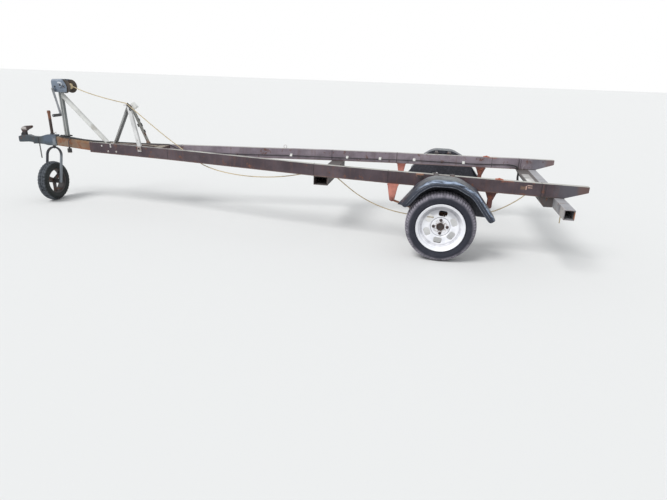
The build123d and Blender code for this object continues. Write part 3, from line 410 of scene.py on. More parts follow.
tints = {
    "farRailLitCopy": railTints + seamTints(1),
    "railPaint": railTints + seamTints(-1),
    "drawbarRust": [
        ((-1.46, 0, 0.6), (0.445, 0.5, 0.5), (0.085, 0.055, 0.058), 0.9, 0.004, 1),
        ((-2.0, 0, 0.64), (0.1, 0.5, 0.012), (0.3, 0.17, 0.09), 0.6, 0.008, 2),
        ((-2.0, 0, 0.56), (0.1, 0.5, 0.012), (0.28, 0.11, 0.05), 0.7, 0.01, 2),
    ],
    "crossMemberPaint": [((2.522, 0.14, 0.534), (0.034, 0.185, 0.02), (0.97, 0.96, 0.93), 1.0, 0.006, 1)],
    "weatheredBeam": [
        ((2.67, -1.0, 0.495), (0.012, 0.02, 0.026), (0.48, 0.19, 0.08), 0.85, 0.008, 2),
        ((2.63, 0.99, 0.4965), (0.08, 0.012, 0.06), (0.4, 0.18, 0.09), 0.6, 0.008, 2),
        # Dark patch on the beam's front face: painted shadow
        ((2.591, -0.86, 0.515), (0.006, 0.04, 0.03), (0.13, 0.12, 0.13), 0.6, 0.012, 4),
        # Pale patch on the beam's front face: painted highlight
        ((2.591, -0.93, 0.5), (0.006, 0.06, 0.045), (0.56, 0.52, 0.49), 0.7, 0.01, 3),
    ],
    "couplerPaint": [
        ((-2.41, 0, 0.66), (0.075, 0.2, 0.05), (0.1, 0.135, 0.2), 0.6, 0.03, 3),
        ((-2.35, 0, 0.62), (0.018, 0.2, 0.035), (0.34, 0.36, 0.38), 0.5, 0.02, 4),
        ((-2.547, 0, 0.62), (0.006, 0.2, 0.1), (0.01, 0.01, 0.012), 1.0, 0.003, 0.5),
    ],
    "leverRust": [
        ((-2.72, 0, 0.74), (0.035, 0.1, 0.014), (0.6, 0.56, 0.54), 0.8, 0.01, 2),
        ((-2.73, 0, 0.675), (0.06, 0.1, 0.022), (0.018, 0.018, 0.02), 0.95, 0.006, 2),
    ],
    "forkPaint": [((-2.3, -0.05, 0.32), (0.04, 0.3, 0.16), (0.25, 0.28, 0.31), 0.8, 0.03, 1.5)],
    "stemRust": [((-2.385, 0, 0.9), (0.05, 0.05, 0.05), (0.3, 0.12, 0.06), 0.6, 0.02, 2)],
    "postZinc": [
        ((-2.217, -0.0175, 0.9), (0.0045, 0.003, 0.3), (0.52, 0.52, 0.5), 0.85, 0.002, 2),
        ((-2.191, -0.0175, 0.9), (0.004, 0.003, 0.3), (0.46, 0.46, 0.44), 0.8, 0.002, 2),
    ],
    "braceZinc": [((-1.86, -0.02, 0.79), (0.03, 0.02, 0.03), (0.42, 0.4, 0.36), 0.7, 0.01, 2)],
    # Dark strip on the front leg's far flange: painted shade
    "frontLegZinc": [((-1.55, 0.0165, 0.83), (0.2, 0.003, 0.25), (0.02, 0.022, 0.022), 0.92, 0.001, 0.5)],
    "leftLegZinc": [((-1.29, -0.13, 0.62), (0.06, 0.05, 0.022), (0.26, 0.17, 0.14), 0.7, 0.01, 2)],
    "rightLegPaint": [((-1.34, 0.13, 0.63), (0.06, 0.06, 0.04), (0.33, 0.18, 0.11), 0.8, 0.02, 2)],
    "winchPaint": [
        # Pale patch on the boss's upper part: painted highlight arc
        ((-2.152, -0.074, 1.224), (0.02, 0.012, 0.006), (0.72, 0.75, 0.8), 0.9, 0.004, 1),
        # Pale spot on the boss's right side: painted highlight
        ((-2.124, -0.074, 1.212), (0.006, 0.012, 0.012), (0.66, 0.69, 0.74), 0.8, 0.004, 1),
        # Paler band along the plates' upper edge: painted highlight
        ((-2.19, -0.065, 1.25), (0.062, 0.012, 0.008), (0.46, 0.5, 0.56), 0.6, 0.008, 2),
        # Darker band along the plates' lower edge: painted shade
        ((-2.17, -0.065, 1.14), (0.1, 0.012, 0.01), (0.1, 0.12, 0.15), 0.6, 0.012, 2),
    ],
    "springRust": [((1.33, 0, 0.44), (0.07, 1, 0.06), (0.42, 0.16, 0.07), 0.7, 0.03, 2)],
    "redOxide": [((1.33, 0, 0.4), (0.1, 1, 0.035), (0.2, 0.075, 0.06), 0.7, 0.03, 3)],
    "padRubber": [((-1.45, 0, 1.031), (0.046, 0.2, 0.006), (0.5, 0.47, 0.52), 0.9, 0.002, 0.5)],
}
# Pale worn paint on the rails' top faces, which also serves as their painted highlight
paleTopAndHighlight = (0.5, 0.5, 0.46)
wornSteel("railPaint", (0.058, 0.038, 0.048), (0.098, 0.07, 0.08), rust=(0.19, 0.085, 0.058),
          darkRust=(0.1, 0.048, 0.04), rusty=0.2, edge=(0.42, 0.38, 0.35), edgeWearAndHighlight=0.85, top=paleTopAndHighlight,
          topDustAndHighlight=0.9, streaks=0.4)
# The far rail takes a paler copy of the rail paint: painted light on its inner face, which faces the camera
wornSteel("farRailLitCopy", (0.25, 0.205, 0.24), (0.32, 0.275, 0.31), rust=(0.2, 0.1, 0.075),
          darkRust=(0.11, 0.06, 0.05), rusty=0.22, edge=(0.42, 0.38, 0.35), edgeWearAndHighlight=0.8, top=paleTopAndHighlight,
          topDustAndHighlight=0.8, streaks=0.4)
wornSteel("drawbarRust", (0.27, 0.16, 0.1), (0.235, 0.165, 0.115), rust=(0.29, 0.135, 0.07),
          darkRust=(0.18, 0.085, 0.048), rusty=0.45, edge=(0.42, 0.34, 0.26), top=(0.4, 0.36, 0.28),
          topDustAndHighlight=0.6)
wornSteel("crossMemberPaint", (0.06, 0.054, 0.056), (0.085, 0.07, 0.068), rusty=0.2,
          top=(0.125, 0.112, 0.108))
wornSteel("weatheredBeam", (0.33, 0.33, 0.34), (0.24, 0.24, 0.26), rust=(0.28, 0.12, 0.055), rusty=0.22,
          edge=(0.42, 0.19, 0.09), edgeWearAndHighlight=0.5, top=(0.42, 0.42, 0.44), streaks=0.3, rough=0.68)
wornSteel("couplerPaint", (0.03, 0.04, 0.05), (0.062, 0.08, 0.092), rusty=0.12, edge=(0.22, 0.24, 0.27),
          edgeWearAndHighlight=0.5, top=(0.16, 0.18, 0.21), topDustAndHighlight=0.5, rough=0.5)
wornSteel("leverRust", (0.07, 0.042, 0.038), (0.045, 0.03, 0.028), rust=(0.11, 0.05, 0.032), rusty=0.3,
          edge=(0.45, 0.4, 0.38))
wornSteel("chainRust", (0.035, 0.03, 0.03), (0.05, 0.04, 0.036), rusty=0.2, edgeWidth=0.001)
wornSteel("jockeySteel", (0.085, 0.092, 0.108), (0.055, 0.058, 0.068), rusty=0.26, edge=(0.3, 0.31, 0.33))
wornSteel("forkPaint", (0.05, 0.058, 0.072), (0.034, 0.04, 0.052), rusty=0.1, edge=(0.3, 0.33, 0.36),
          edgeWearAndHighlight=0.8)
wornSteel("bracketPaint", (0.045, 0.04, 0.045), (0.065, 0.055, 0.06), rusty=0.2)
wornSteel("jockeyRimRust", (0.045, 0.043, 0.045), (0.06, 0.045, 0.04), rusty=0.34)
wornSteel("stemRust", (0.075, 0.05, 0.04), (0.05, 0.036, 0.034), rusty=0.3, edge=(0.3, 0.2, 0.16))
wornSteel("postZinc", (0.225, 0.24, 0.24), (0.17, 0.185, 0.185), rust=(0.19, 0.13, 0.09), rusty=0.1,
          edge=(0.42, 0.43, 0.42), streaks=0.25, rough=0.55, metal=0.2)
wornSteel("braceZinc", (0.76, 0.76, 0.73), (0.64, 0.65, 0.63), rust=(0.4, 0.3, 0.22),
          darkRust=(0.28, 0.2, 0.15), rusty=0.12, edge=(0.84, 0.84, 0.82), streaks=0.15, rough=0.5)
wornSteel("frontLegZinc", (0.82, 0.83, 0.83), (0.7, 0.71, 0.71), rusty=0.08, edge=(0.7, 0.7, 0.69),
          streaks=0.15)
wornSteel("leftLegZinc", (0.74, 0.74, 0.73), (0.62, 0.62, 0.62), rust=(0.38, 0.22, 0.15), rusty=0.12,
          edge=(0.7, 0.7, 0.68), streaks=0.15)
wornSteel("rightLegPaint", (0.4, 0.4, 0.37), (0.33, 0.33, 0.31), rusty=0.22, edge=(0.34, 0.32, 0.31))
wornSteel("winchPaint", (0.25, 0.305, 0.385), (0.215, 0.26, 0.335), rust=(0.2, 0.12, 0.085), rusty=0.08,
          edge=(0.52, 0.55, 0.59), edgeWearAndHighlight=0.75, streaks=0.2, rough=0.42)
wornSteel("drumRust", (0.05, 0.04, 0.034), (0.085, 0.07, 0.055), rusty=0.3, rust=(0.12, 0.07, 0.045))
wornSteel("crankSteel", (0.32, 0.33, 0.35), (0.24, 0.25, 0.27), rusty=0.15, edge=(0.5, 0.5, 0.5), metal=0.2,
          rough=0.45)
wornSteel("axlePaint", (0.04, 0.034, 0.036), (0.065, 0.048, 0.042), rusty=0.4)
wornSteel("springRust", (0.1, 0.06, 0.045), (0.13, 0.07, 0.045), rusty=0.5)
wornSteel("redOxide", (0.64, 0.245, 0.19), (0.54, 0.2, 0.155), rust=(0.28, 0.09, 0.055),
          darkRust=(0.14, 0.055, 0.04), rusty=0.3, edge=(0.09, 0.045, 0.04), edgeWearAndHighlight=0.6)
wornSteel("darkOxide", (0.16, 0.05, 0.04), (0.1, 0.038, 0.034), rust=(0.32, 0.1, 0.05), rusty=0.35,
          edge=(0.3, 0.13, 0.09))
wornSteel("hubRust", (0.045, 0.026, 0.024), (0.03, 0.02, 0.02), rusty=0.4, rust=(0.11, 0.052, 0.036))
wornSteel("nutRust", (0.055, 0.036, 0.036), (0.04, 0.028, 0.028), rusty=0.3, rust=(0.12, 0.055, 0.042),
          edge=(0.24, 0.18, 0.17), edgeWidth=0.001)
wornSteel("boltZinc", (0.66, 0.64, 0.62), (0.52, 0.49, 0.47), rusty=0.12, edgeWidth=0.001, rough=0.45,
          metal=0.1)
wornSteel("weldSteel", (0.04, 0.03, 0.032), (0.06, 0.044, 0.044), rust=(0.1, 0.055, 0.042), rusty=0.2,
          edgeWidth=0.001)
guardLook("guardSheetLeft", -1)
guardLook("guardSheetRight", 1)
plasticLook("guardInside", (0.034, 0.036, 0.048), (0.085, 0.085, 0.105), 0.7, 0.6)
# The beads' pale tone is a painted highlight along the skirt's edge and its ledge
plasticLook("guardBeadHighlight", (0.1, 0.11, 0.135), (0.26, 0.28, 0.33), 0.8, 0.35)
plasticLook("blackRubber", (0.016, 0.016, 0.018), (0.06, 0.06, 0.062), 0.4, 0.55)
plasticLook("leadRubber", (0.06, 0.052, 0.062), (0.13, 0.12, 0.13), 0.5, 0.55)
plasticLook("blackPlastic", (0.018, 0.018, 0.02), (0.075, 0.075, 0.08), 0.4, 0.42)
plasticLook("whitePlastic", (0.78, 0.78, 0.75), (0.55, 0.54, 0.5), 0.5, 0.45)
plasticLook("redPlastic", (0.42, 0.1, 0.045), (0.26, 0.1, 0.06), 0.6, 0.5)
ropeLook("ropeFibre", (0.74, 0.62, 0.4), (0.42, 0.32, 0.18))
wornSteel("padRubber", (0.9, 0.9, 0.88), (0.84, 0.84, 0.81), rust=(0.5, 0.47, 0.44),
          darkRust=(0.34, 0.31, 0.3), rusty=0.1, edge=(0.55, 0.53, 0.5), edgeWearAndHighlight=0.3, streaks=0.12,
          rough=0.6)
print("materials made,", len(looks), "looks")

keptLooks = {
    "railPaint": ["rail_left"], "farRailLitCopy": ["rail_right"], "drawbarRust": ["drawbar"],
    "crossMemberPaint": ["front_cross_member", "rear_cross_member"], "weatheredBeam": ["rear_beam"],
    "postZinc": ["winch_post"], "frontLegZinc": ["bow_leg_front"], "leftLegZinc": ["bow_leg_left"],
    "rightLegPaint": ["bow_leg_right"], "axlePaint": ["axle"],
    "redOxide": ["hanger_front_left", "hanger_front_right"],
    "darkOxide": ["hanger_rear_left", "hanger_rear_right"],
    "bracketPaint": ["mudguard_brackets_left", "mudguard_brackets_right"],
    "blackRubber": ["lighting_cable"], "blackPlastic": ["trailer_plug"],
}
for lookName, nodeNames in keptLooks.items():
    for nodeName in nodeNames:
        for materialSlot in nodes[nodeName].material_slots:
            materialSlot.material = looks[lookName]
ropeCurve.data.materials.append(looks["ropeFibre"])
leadCurve.data.materials.append(looks["leadRubber"])
print("frame painted")


# Shape tools, in mm. A shape is its points, its quads and its end caps
def unit(vectors):
    vectors = np.asarray(vectors, float)
    return vectors / np.linalg.norm(vectors, axis=-1, keepdims=True)


def fullTurn(sides):
    return np.linspace(0, 2 * np.pi, sides, endpoint=False)


def gridQuads(rows, columns, closeRows, closeColumns):
    # Each quad joins a point to the next in its row and the two beside them in the next row
    row, column = np.meshgrid(np.arange(rows if closeRows else rows - 1),
                              np.arange(columns if closeColumns else columns - 1), indexing="ij")
    row, column = row.ravel(), column.ravel()
    nextRow, nextColumn = (row + 1) % rows, (column + 1) % columns
    return np.stack([row * columns + column, nextRow * columns + column,
                     nextRow * columns + nextColumn, row * columns + nextColumn], 1)


def latheShape(profile, centre, axis, sides=64, closed=True, sink=None):
    # Each (out, radius) of the profile goes to the centre, out along the axis and radius round it.
    # Sink lowers the radius
    axis = unit(axis)
    across = unit(np.cross((0, 0, 1) if abs(axis[2]) < 0.9 else (0, 1, 0), axis))
    profile = np.asarray(profile, float)
    turn = fullTurn(sides)
    ring = np.cos(turn)[:, None] * across + np.sin(turn)[:, None] * np.cross(axis, across)
    radius = np.tile(profile[:, 1], (sides, 1))
    if sink is not None:
        radius = radius - sink(turn[:, None], profile[None, :, 0], radius)
    grid = np.asarray(centre) + profile[None, :, :1] * axis + radius[:, :, None] * ring[:, None, :]
    return grid.reshape(-1, 3), gridQuads(sides, len(profile), True, closed), []


def carriedShape(path, section, up, closed=False, size=None):
    # The section's (side, up) offsets are added at each point of the path, square to its direction
    path = np.asarray(path, float)
    along = unit(np.roll(path, -1, 0) - np.roll(path, 1, 0)) if closed else unit(np.gradient(path, axis=0))
    side = unit(np.cross(along, up))
    lift = np.cross(side, along)
    size = np.ones(len(path)) if size is None else size
    section = np.asarray(section, float)
    offset = section[None, :, :1] * side[:, None] + section[None, :, 1:] * lift[:, None]
    grid = path[:, None] + size[:, None, None] * offset
    count = len(section)
    caps = [] if closed else [np.arange(count), np.arange(count) + (len(path) - 1) * count]
    return grid.reshape(-1, 3), gridQuads(len(path), count, closed, True), caps


def slabShape(outline, origin, xDir, yDir, depth):
    # The outline's (x, y) on its plane, and again at the depth along the plane's normal
    xDir, yDir = unit(xDir), unit(yDir)
    outline = np.asarray(outline, float)
    face = np.asarray(origin) + outline[:, :1] * xDir + outline[:, 1:] * yDir
    count = len(outline)
    caps = [np.arange(count), np.arange(count) + count]
    return np.vstack([face, face + np.cross(xDir, yDir) * depth]), gridQuads(2, count, False, True), caps


def roundedOutline(corners, radius, steps=6):
    # Each corner is swapped for an arc that touches both of its sides
    corners = np.asarray(corners, float)
    before, after = unit(np.roll(corners, 1, 0) - corners), unit(np.roll(corners, -1, 0) - corners)
    half = np.arccos(np.clip((before * after).sum(1), -1, 1)) / 2
    radius = np.broadcast_to(np.asarray(radius, float), half.shape)
    middle = corners + unit(before + after) * (radius / np.sin(half))[:, None]
    first = corners + before * (radius / np.tan(half))[:, None] - middle
    last = corners + after * (radius / np.tan(half))[:, None] - middle
    start = np.arctan2(first[:, 1], first[:, 0])
    swing = (np.arctan2(last[:, 1], last[:, 0]) - start + np.pi) % (2 * np.pi) - np.pi
    turn = start[:, None] + swing[:, None] * np.linspace(0, 1, steps + 1)
    arc = middle[:, None] + radius[:, None, None] * np.stack([np.cos(turn), np.sin(turn)], -1)
    return arc.reshape(-1, 2)


def bentLine(points, radii, step):
    # The heading is that of each run and turns evenly over each corner's arc. The line is its running sum
    points = np.asarray(points, float)
    runs = np.diff(points, axis=0)
    headings = np.unwrap(np.arctan2(runs[:, 1], runs[:, 0]))
    turns = np.diff(headings)
    cut = np.asarray(radii) * np.tan(np.abs(turns) / 2)
    arcs = np.asarray(radii) * np.abs(turns)
    straights = np.hypot(*runs.T) - np.append(cut, 0) - np.insert(cut, 0, 0)
    arcStarts = np.cumsum(straights[:-1]) + np.append(0, np.cumsum(arcs)[:-1])
    total = straights.sum() + arcs.sum()
    count = int(total / step) + 1
    middles = (np.arange(count) + 0.5) * total / count
    heading = headings[0] + (turns * np.clip((middles[:, None] - arcStarts) / arcs, 0, 1)).sum(1)
    steps = np.stack([np.cos(heading), np.sin(heading)], 1) * total / count
    return points[0] + np.vstack([np.zeros((1, 2)), np.cumsum(steps, 0)])


def standingSlab(outline, origin, depth):
    # A slab whose outline is (x, z)
    return slabShape(outline, origin, (1, 0, 0), (0, 0, 1), depth)


def ringSection(radius, sides=12):
    turn = fullTurn(sides)
    return radius * np.stack([np.cos(turn), np.sin(turn)], 1)


def boxCorners(x, y, halfX, halfY):
    return [(x - halfX, y - halfY), (x + halfX, y - halfY), (x + halfX, y + halfY), (x - halfX, y + halfY)]


def boxSection(width, height, corner):
    return roundedOutline(boxCorners(0, 0, width / 2, height / 2), corner, 3)


def solidTurned(profile, centre, axis, sides):
    # A profile that starts and ends on the axis
    return latheShape(profile, centre, axis, sides, closed=False)


def nutShapes(places, axis, acrossFlats, height, stud=0.0, studOut=0.0, washer=0.0):
    # Each nut is a turned profile with six sides, its top edge cut back, and its stud's end stands out of it
    rim = acrossFlats / np.sqrt(3)
    nut = [(0, 0), (0, rim), (height * 0.84, rim), (height, rim * 0.86), (height, 0)]
    shapes = [solidTurned(nut, place, axis, 6) for place in places]
    if stud:
        end = [(0, 0), (0, stud), (studOut - stud * 0.3, stud), (studOut, stud * 0.7), (studOut, 0)]
        shapes += [solidTurned(end, place, axis, 14) for place in places]
    if washer:
        plate = [(0, 0), (0, washer), (height * 0.16, washer), (height * 0.2, washer * 0.94),
                 (height * 0.2, 0)]
        shapes += [solidTurned(plate, place, axis, 24) for place in places]
    return shapes


def finishMesh(mesh, lookName, replaces, body, bevel, smooth, merge):
    # Doubles merged, faces turned outwards, sharp edges marked by angle, edges rounded where bevel is given
    piece = newObject(mesh.name, mesh)
    shell = bmesh.new()
    shell.from_mesh(mesh)
    bmesh.ops.remove_doubles(shell, verts=shell.verts, dist=merge)
    bmesh.ops.recalc_face_normals(shell, faces=shell.faces)
    shell.to_mesh(mesh)
    shell.free()
    mesh.shade_smooth()
    mesh.set_sharp_from_angle(angle=np.radians(smooth))
    mesh.materials.clear()
    mesh.materials.append(looks[lookName])
    if bevel:
        rounding = piece.modifiers.new("roundEdges", "BEVEL")
        rounding.width = bevel
        rounding.segments = 2
        rounding.limit_method = "ANGLE"
        rounding.angle_limit = np.radians(32)
    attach(piece, body)
    if replaces:
        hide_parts(*replaces)
    return piece


def makePiece(name, shapes, lookName, replaces=(), body="root", bevel=0.0, smooth=36, merge=1e-6):
    starts = np.cumsum([0] + [len(shape[0]) for shape in shapes])
    points = np.vstack([shape[0] for shape in shapes]) * mm
    quads = np.vstack([shape[1] + start for shape, start in zip(shapes, starts)])
    caps = [(cap + start).tolist() for shape, start in zip(shapes, starts) for cap in shape[2]]
    mesh = bpy.data.meshes.new(name)
    mesh.from_pydata(points.tolist(), [], quads.tolist() + caps)
    return finishMesh(mesh, lookName, replaces, body, bevel, smooth, merge)


def roundedCopy(name, nodeName, lookName, slotName, bevel, smooth):
    # The node's own mesh, merged, its flat faces made whole, so that its edges can be rounded
    mesh = nodes[nodeName].data.copy()
    mesh.name = name
    shell = bmesh.new()
    shell.from_mesh(mesh)
    bmesh.ops.remove_doubles(shell, verts=shell.verts, dist=2e-5)
    bmesh.ops.dissolve_limit(shell, angle_limit=np.radians(0.6), verts=shell.verts, edges=shell.edges)
    shell.to_mesh(mesh)
    shell.free()
    return finishMesh(mesh, lookName, [nodeName], "root", bevel, smooth, 1e-6)


# Wheels. Profiles are (out along the axle, radius) from the rim's middle, in mm
wheel = {
    "x": 1735, "y": 803, "z": 281,
    "tyreSides": 288,
    "sipes": 72,
    "sipeDepth": 4.5,
    "sipeShare": 0.26,  # of the pitch
    "ribPitch": 16, "sipeSlant": 0.012, "sipeFrom": 12, "treadRadius": 269.5,
    "rubber": (0.018, 0.02, 0.032), "dust": (0.3, 0.28, 0.325), "dustBand": (0.238, 0.266, 0.9, 0.2, 72),
    "tyreHalf": [(67.9, 178.5), (69.5, 184), (70.8, 193), (74.5, 200), (77.6, 205.4), (78.9, 207.6),
        (79.6, 209.4), (82.3, 215), (85.6, 224), (87.2, 229.5), (88.4, 231), (88.4, 236), (87.8, 244),
        (86, 251), (82.6, 258.2), (78.6, 264), (74.6, 268.4), (71.8, 270.9), (68, 273), (62, 275.2),
        (56, 276.9), (52, 277.7), (50.4, 272.4), (45.4, 272.8), (43.8, 279.1), (34, 280), (21, 280.6),
        (19.4, 274.2), (13.2, 274.4), (11.6, 280.9), (0, 281)],
    "tyreInside": [(-67, 183), (-76, 212), (-79, 240), (-64, 260), (0, 265), (64, 260), (79, 240),
        (76, 212), (67, 183)],
    "barrel": [(82, 191.5), (80.8, 194), (78, 195), (74.5, 193.6), (71, 189.5), (69, 184), (68, 178.4),
        (66, 177.4), (48, 175.4), (44.5, 172), (40.5, 155.4), (-22, 155.4), (-38, 173.4), (-68, 177.4),
        (-70, 189), (-74, 193.6), (-78, 195), (-81, 193.6), (-82, 191), (-79, 187), (-73, 174),
        (-70, 172.4), (-42, 168.4), (-24, 150.4), (44.5, 150.4), (47, 152), (49.5, 160), (51, 168),
        (54, 171), (66, 172.6), (71, 174.6), (75, 180), (79, 188)],
    "discRadius": [31.7, 68, 72, 75, 78, 81, 86, 100, 111, 126, 134, 140, 146, 153],
    "discOut": [35.0, 35.2, 34.8, 33.0, 33.2, 37.6, 40.4, 40.8, 40.2, 41.0, 42.8, 43.6, 42.6, 38.5],
    "discRings": [31.7, 33.5, 45, 60, 68, 72, 75, 78, 81],
    "discEdges": (81, 153),
    "discGauge": 4.5,
    "discSteps": [0, 0.02, 0.07, 0.16, 0.35, 0.65, 1],
    "windowLip": 3.2, "lipFade": 26, "cornerSteps": 12,
    "windows": 6, "windowCircle": 111, "windowTurn": 24, "windowRadial": 46, "windowAcross": 66,
    "windowCorner": 16,
    "studCircle": 54, "nutFlats": 19, "nutHeight": 15, "studRadius": 5.6, "studOut": 21, "studs": 4,
    "studFace": 33, "washer": 12.8,
    "hub": [(-70, 17.4), (-70, 34), (22, 34), (22, 70), (29.8, 70), (29.8, 31.2), (39.5, 31.2), (42, 29.4),
        (42, 24.5), (38, 22.5), (36.5, 17.4)],
}


def turnedBy(flat, turns):
    # The flat (x, y) points turned by each angle
    c, s = np.cos(turns)[:, None, None], np.sin(turns)[:, None, None]
    x, y = flat[None, ..., 0], flat[None, ..., 1]
    return np.stack([x * c - y * s, x * s + y * c], -1)


def tyreProfile(piece):
    half = np.array(piece["tyreHalf"])
    return np.vstack([half, half[-2::-1] * (-1, 1), piece["tyreInside"]])


def discShape(side):
    # A patch round each window, then the hub zone as rings. A patch's point goes from the window's edge to
    # the sector's border as its step goes from 0 to 1, and its place along the axle comes from its radius
    count, cornerSteps = wheel["windows"], wheel["cornerSteps"]
    perSide = cornerSteps + 1
    corners = boxCorners(0, 0, wheel["windowRadial"] / 2, wheel["windowAcross"] / 2)
    window = roundedOutline(corners, wheel["windowCorner"], cornerSteps) + (wheel["windowCircle"], 0)
    reach = np.pi / count
    inner, outer = wheel["discEdges"]
    corners = np.array([(inner, -reach), (outer, -reach), (outer, reach), (inner, reach)])
    place = (np.arange(4 * perSide) - cornerSteps // 2) / perSide
    first = np.floor(place).astype(int)
    share = (place - first)[:, None]
    border = corners[first % 4] * (1 - share) + corners[(first + 1) % 4] * share
    border = np.stack([border[:, 0] * np.cos(border[:, 1]), border[:, 0] * np.sin(border[:, 1])], 1)
    steps = np.array(wheel["discSteps"])[:, None, None]
    lip = -wheel["windowLip"] * np.exp(-steps[..., 0] * wheel["lipFade"]) * np.ones(len(window))
    start = np.radians(wheel["windowTurn"])
    turned = turnedBy(window * (1 - steps) + border * steps, start + 2 * np.pi * np.arange(count) / count)
    spots = fullTurn(count * perSide) + start + reach
    hubZone = np.array(wheel["discRings"])[:, None, None] * np.stack([np.cos(spots), np.sin(spots)], -1)[None]

    def placed(flat, extra):
        out = np.interp(np.hypot(flat[..., 0], flat[..., 1]), wheel["discRadius"], wheel["discOut"]) + extra
        grid = np.stack([wheel["x"] + flat[..., 0], side * (wheel["y"] + out),
                         wheel["z"] - side * flat[..., 1]], -1)
        return grid.reshape(-1, 3), gridQuads(len(flat), flat.shape[1], False, True), []

    return [placed(patch, lip) for patch in turned] + [placed(hubZone, 0)]


def buildWheel(side, sideName):
    centre = np.array([wheel["x"], side * wheel["y"], wheel["z"]])
    axis = (0, side, 0)
    end = sideName.lower()
    body = "wheel_" + end

    def treadCuts(turn, out, radius):
        # Each cut is a short part of a turn, set over by half a pitch from one rib to the next
        rib = np.floor(np.abs(out) / wheel["ribPitch"])
        phase = (turn * wheel["sipes"] / (2 * np.pi) + rib * 0.5 + np.abs(out) * wheel["sipeSlant"]) % 1
        onTread = (radius > wheel["treadRadius"]) & (np.abs(out) > wheel["sipeFrom"])
        return np.where(onTread & (phase < wheel["sipeShare"]), wheel["sipeDepth"], 0)

    rubberLook("tyreRubber" + sideName, wheel["rubber"], wheel["dust"], centre, axis, *wheel["dustBand"])
    tyre = latheShape(tyreProfile(wheel), centre, axis, wheel["tyreSides"], sink=treadCuts)
    makePiece("tyre" + sideName, [tyre], "tyreRubber" + sideName, ["tyre_" + end], body, smooth=30)
    silver = "wheelSilver" + sideName
    rimLook(silver, centre, axis)
    makePiece("rimBarrel" + sideName, [latheShape(wheel["barrel"], centre, axis, 128)],
              silver, ["rim_" + end], body, smooth=50)
    disc = makePiece("rimDisc" + sideName, discShape(side), silver, (), body, smooth=50,
                     merge=2e-5)
    # The disc is an open sheet, so its faces are turned by their direction along the axle before its wall
    sheet = bmesh.new()
    sheet.from_mesh(disc.data)
    flipped = [face for face in sheet.faces if face.normal.y * side < 0]
    if len(flipped) > len(sheet.faces) / 2:
        bmesh.ops.reverse_faces(sheet, faces=sheet.faces)
    sheet.to_mesh(disc.data)
    sheet.free()
    wall = disc.modifiers.new("wall", "SOLIDIFY")
    wall.thickness = wheel["discGauge"] * mm
    wall.offset = -1
    makePiece("hub" + sideName, [latheShape(wheel["hub"], centre, axis, 72)],
              "hubRust", ["hub_" + end], body)
    turns = fullTurn(wheel["studs"])
    studs = centre + (0, side * wheel["studFace"], 0) + wheel["studCircle"] * np.stack(
        [np.cos(turns), 0 * turns, np.sin(turns)], 1)
    nuts = nutShapes(studs, axis, wheel["nutFlats"], wheel["nutHeight"],
                     wheel["studRadius"], wheel["studOut"], wheel["washer"])
    makePiece("wheelNuts" + sideName, nuts, "nutRust", (), body)


sides = ((-1, "Left"), (1, "Right"))
for side, sideName in sides:
    buildWheel(side, sideName)
print("wheels made")

# Mudguards. The line is (x from the axle, z) and the section (y, down from the line), in mm
guard = {
    "line": [(-325, 448), (-215, 588), (-110, 661), (95, 661), (250, 580), (409, 375)],
    "radii": [150, 180, 200, 220],
    "step": 6,
    "section": [(690, 0), (693, 0.6), (740, 1.2), (800, 1.4), (840, 0.8), (858, -0.6), (870, -3),
        (879, -7.5), (885.5, -14), (889.5, -22), (891.5, -31), (892.6, -39), (893, -44), (892.6, -47.4),
        (890, -49.4), (886.6, -48.6), (885.6, -45), (887, -42.6), (888.6, -40), (887.6, -32), (885.6, -24),
        (882, -17), (876, -11), (868, -6.4), (856, -3.8), (840, -2.4), (800, -1.8), (740, -2.0),
        (693, -2.6), (690, -2.6)],
    "endRound": 0.55, "roundLength": 42, "roundFrom": 850, "drawIn": 0.9,
    "beads": [(892.4, -46.5, 2.0), (890.6, -27, 1.6)],  # out, drop, radius
    "beadCut": 6,  # steps left bare at each end
}


def guardPath(cut):
    # The guard's line over the wheel without the steps that are cut from its ends, and the line's normal
    line = bentLine(guard["line"], guard["radii"], guard["step"])
    line = line[cut:len(line) - cut]
    path = np.stack([wheel["x"] + line[:, 0], 0 * line[:, 0], line[:, 1]], 1)
    along = unit(np.gradient(path, axis=0))
    return path, np.stack([-along[:, 2], 0 * along[:, 0], along[:, 0]], 1)


def buildGuard(side, sideName):
    path, normal = guardPath(0)
    section = np.array(guard["section"], float)
    length, count = len(path), len(section)
    # The skirt is drawn in towards both ends over a quarter circle, so that the lower corners are round
    fromEnd = np.minimum(np.arange(length), np.arange(length)[::-1]) * guard["step"]
    ease = np.clip(fromEnd / guard["roundLength"], 0, 1)
    keep = (guard["endRound"] + (1 - guard["endRound"]) * np.sqrt(1 - (1 - ease) ** 2))[:, None]
    inset = np.clip(section[:, 0] - guard["roundFrom"], 0, None) * (1 - keep) * guard["drawIn"]
    grid = path[:, None] + (section[:, 1] * keep)[..., None] * normal[:, None]
    grid[..., 1] = side * (section[:, 0] - inset)
    caps = [np.arange(count), np.arange(count) + (length - 1) * count]
    makePiece("mudguard" + sideName, [(grid.reshape(-1, 3), gridQuads(length, count, False, True), caps)],
              "guardSheet" + sideName, ["mudguard_" + sideName.lower()], smooth=50)


guardSide = {
    "front": [(-362, 400), (-325, 448)],
    "rear": [(300, 511), (340, 422), (352, 347)],
    "inside": 690, "gauge": 2.5, "under": 2, "reach": (-310, 280),
    "notch": [(-34, 364), (-38, 428), (-92, 432), (-98, 371)],
    "bars": [-72, 6],
    "slots": [(-100, 622, 18), (-35, 624, 20), (40, 624, 30), (118, 620, 13)],  # x, z, half width
    "slotHalfHeight": 9, "slotCorner": 6, "slotDepth": 0.8,
    "barHalfWidth": 13, "barGauge": 4, "barMiddle": 538.5, "barHalfHeight": 113.5,
}


